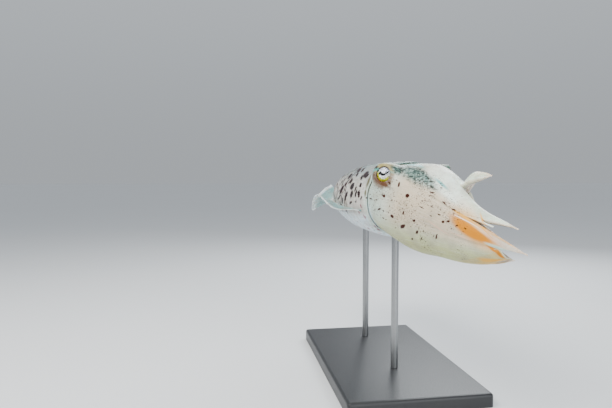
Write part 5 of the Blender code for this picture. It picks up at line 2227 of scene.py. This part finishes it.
class SetStage(bpy.types.Operator):
    """Set up the floor, the lights and the camera"""

    bl_idname = "cuttlefish.set_stage"
    bl_label = "Stage"

    def execute(self, context):
        settings = context.scene.cuttlefish_stage
        scene = context.scene
        bpy.ops.object.select_all(action="DESELECT")
        bpy.ops.mesh.primitive_plane_add(size=40.0, location=(0, 0, 0))
        floor = context.object
        floor.name = "studio_floor"
        board = Finish("studio floor")
        cloud = board.noise(board.objects(), 1.5)
        colour = board.colour(cloud, settings.floor_colour, Vector(settings.floor_colour) * 1.04)
        floor.data.materials.append(board.shade({"Base Color": colour, "Roughness": 0.7}))

        world = bpy.data.worlds.new("studio")
        world.use_nodes = True
        board = Board(world.node_tree)
        sky = world.node_tree.nodes["Background"]
        facing = board.node("ShaderNodeTexCoord").outputs["Generated"]
        height = board.node("ShaderNodeSeparateXYZ", {0: facing}).outputs[2]
        # darker at the floor's level, so that the floor runs into it without a line
        tone = board.colour(board.range(height, 0.0, 0.5), HORIZON_TONE, SKY_TONE)
        board.put(sky.inputs["Color"], tone)
        sky.inputs["Strength"].default_value = 0.70
        scene.world = world

        power = settings.key_power
        self.light("key", (0.35, -0.65, 1.05), power, 0.7, (1.0, 0.99, 0.96))
        self.light("fill", (0.95, 0.25, 0.45), 0.35 * power, 0.7, (0.93, 0.97, 1.0))
        self.light("rim", (-0.75, 0.5, 0.75), 0.45 * power, 0.6, (0.92, 0.97, 1.0))

        data = bpy.data.cameras.new("photo_camera")
        data.lens = CAMERA_LENS
        data.sensor_width = SENSOR_WIDTH
        data.clip_start = 0.01
        camera = bpy.data.objects.new("photo_camera", data)
        scene.collection.objects.link(camera)
        camera.matrix_world = Matrix.Translation(CAMERA_PLACE) @ camera_axes().to_4x4()
        scene.camera = camera
        return {"FINISHED"}

    def light(self, name, place, power, size, colour):
        """A square light that shines at the model's middle."""
        data = bpy.data.lights.new(name, "AREA")
        data.energy = power
        data.size = size
        data.color = colour
        lamp = bpy.data.objects.new(name, data)
        bpy.context.scene.collection.objects.link(lamp)
        turn = (LIGHTS_AIM - Vector(place)).to_track_quat("-Z", "Y").to_matrix().to_4x4()
        lamp.matrix_world = Matrix.Translation(place) @ turn


class CuttlefishPanel(bpy.types.Panel):
    """The model's pieces and settings"""

    bl_idname = "VIEW3D_PT_cuttlefish"
    bl_label = "Pharaoh Cuttlefish"
    bl_space_type = "VIEW_3D"
    bl_region_type = "UI"
    bl_category = "Cuttlefish"

    def draw(self, context):
        layout = self.layout
        for step in STEPS:
            layout.operator(step.bl_idname)
        for setting in SETTINGS:
            settings = getattr(context.scene, setting)
            box = layout.box()
            for name in settings.bl_rna.properties.keys():
                if name not in ("rna_type", "name"):
                    box.prop(settings, name)


STEPS = (SetStage, BuildSkin, BuildSuckers, BuildMouth, BuildEyes, FinishStand)
SETTINGS = {
    "cuttlefish_skin": SkinSettings,
    "cuttlefish_eye": EyeSettings,
    "cuttlefish_stage": StageSettings,
}
CLASSES = (*SETTINGS.values(), *STEPS, CuttlefishPanel)


def register():
    for cls in CLASSES:
        bpy.utils.register_class(cls)
    for setting, kind in SETTINGS.items():
        setattr(bpy.types.Scene, setting, PointerProperty(type=kind))


def unregister():
    for setting in SETTINGS:
        delattr(bpy.types.Scene, setting)
    for cls in reversed(CLASSES):
        bpy.utils.unregister_class(cls)


def main():
    """Builds every piece in order."""
    register()
    bpy.ops.cuttlefish.set_stage()
    bpy.ops.cuttlefish.build_skin()
    bpy.ops.cuttlefish.build_suckers()
    bpy.ops.cuttlefish.build_mouth()
    bpy.ops.cuttlefish.build_eyes()
    bpy.ops.cuttlefish.finish_stand()


if __name__ == "__main__":
    main()
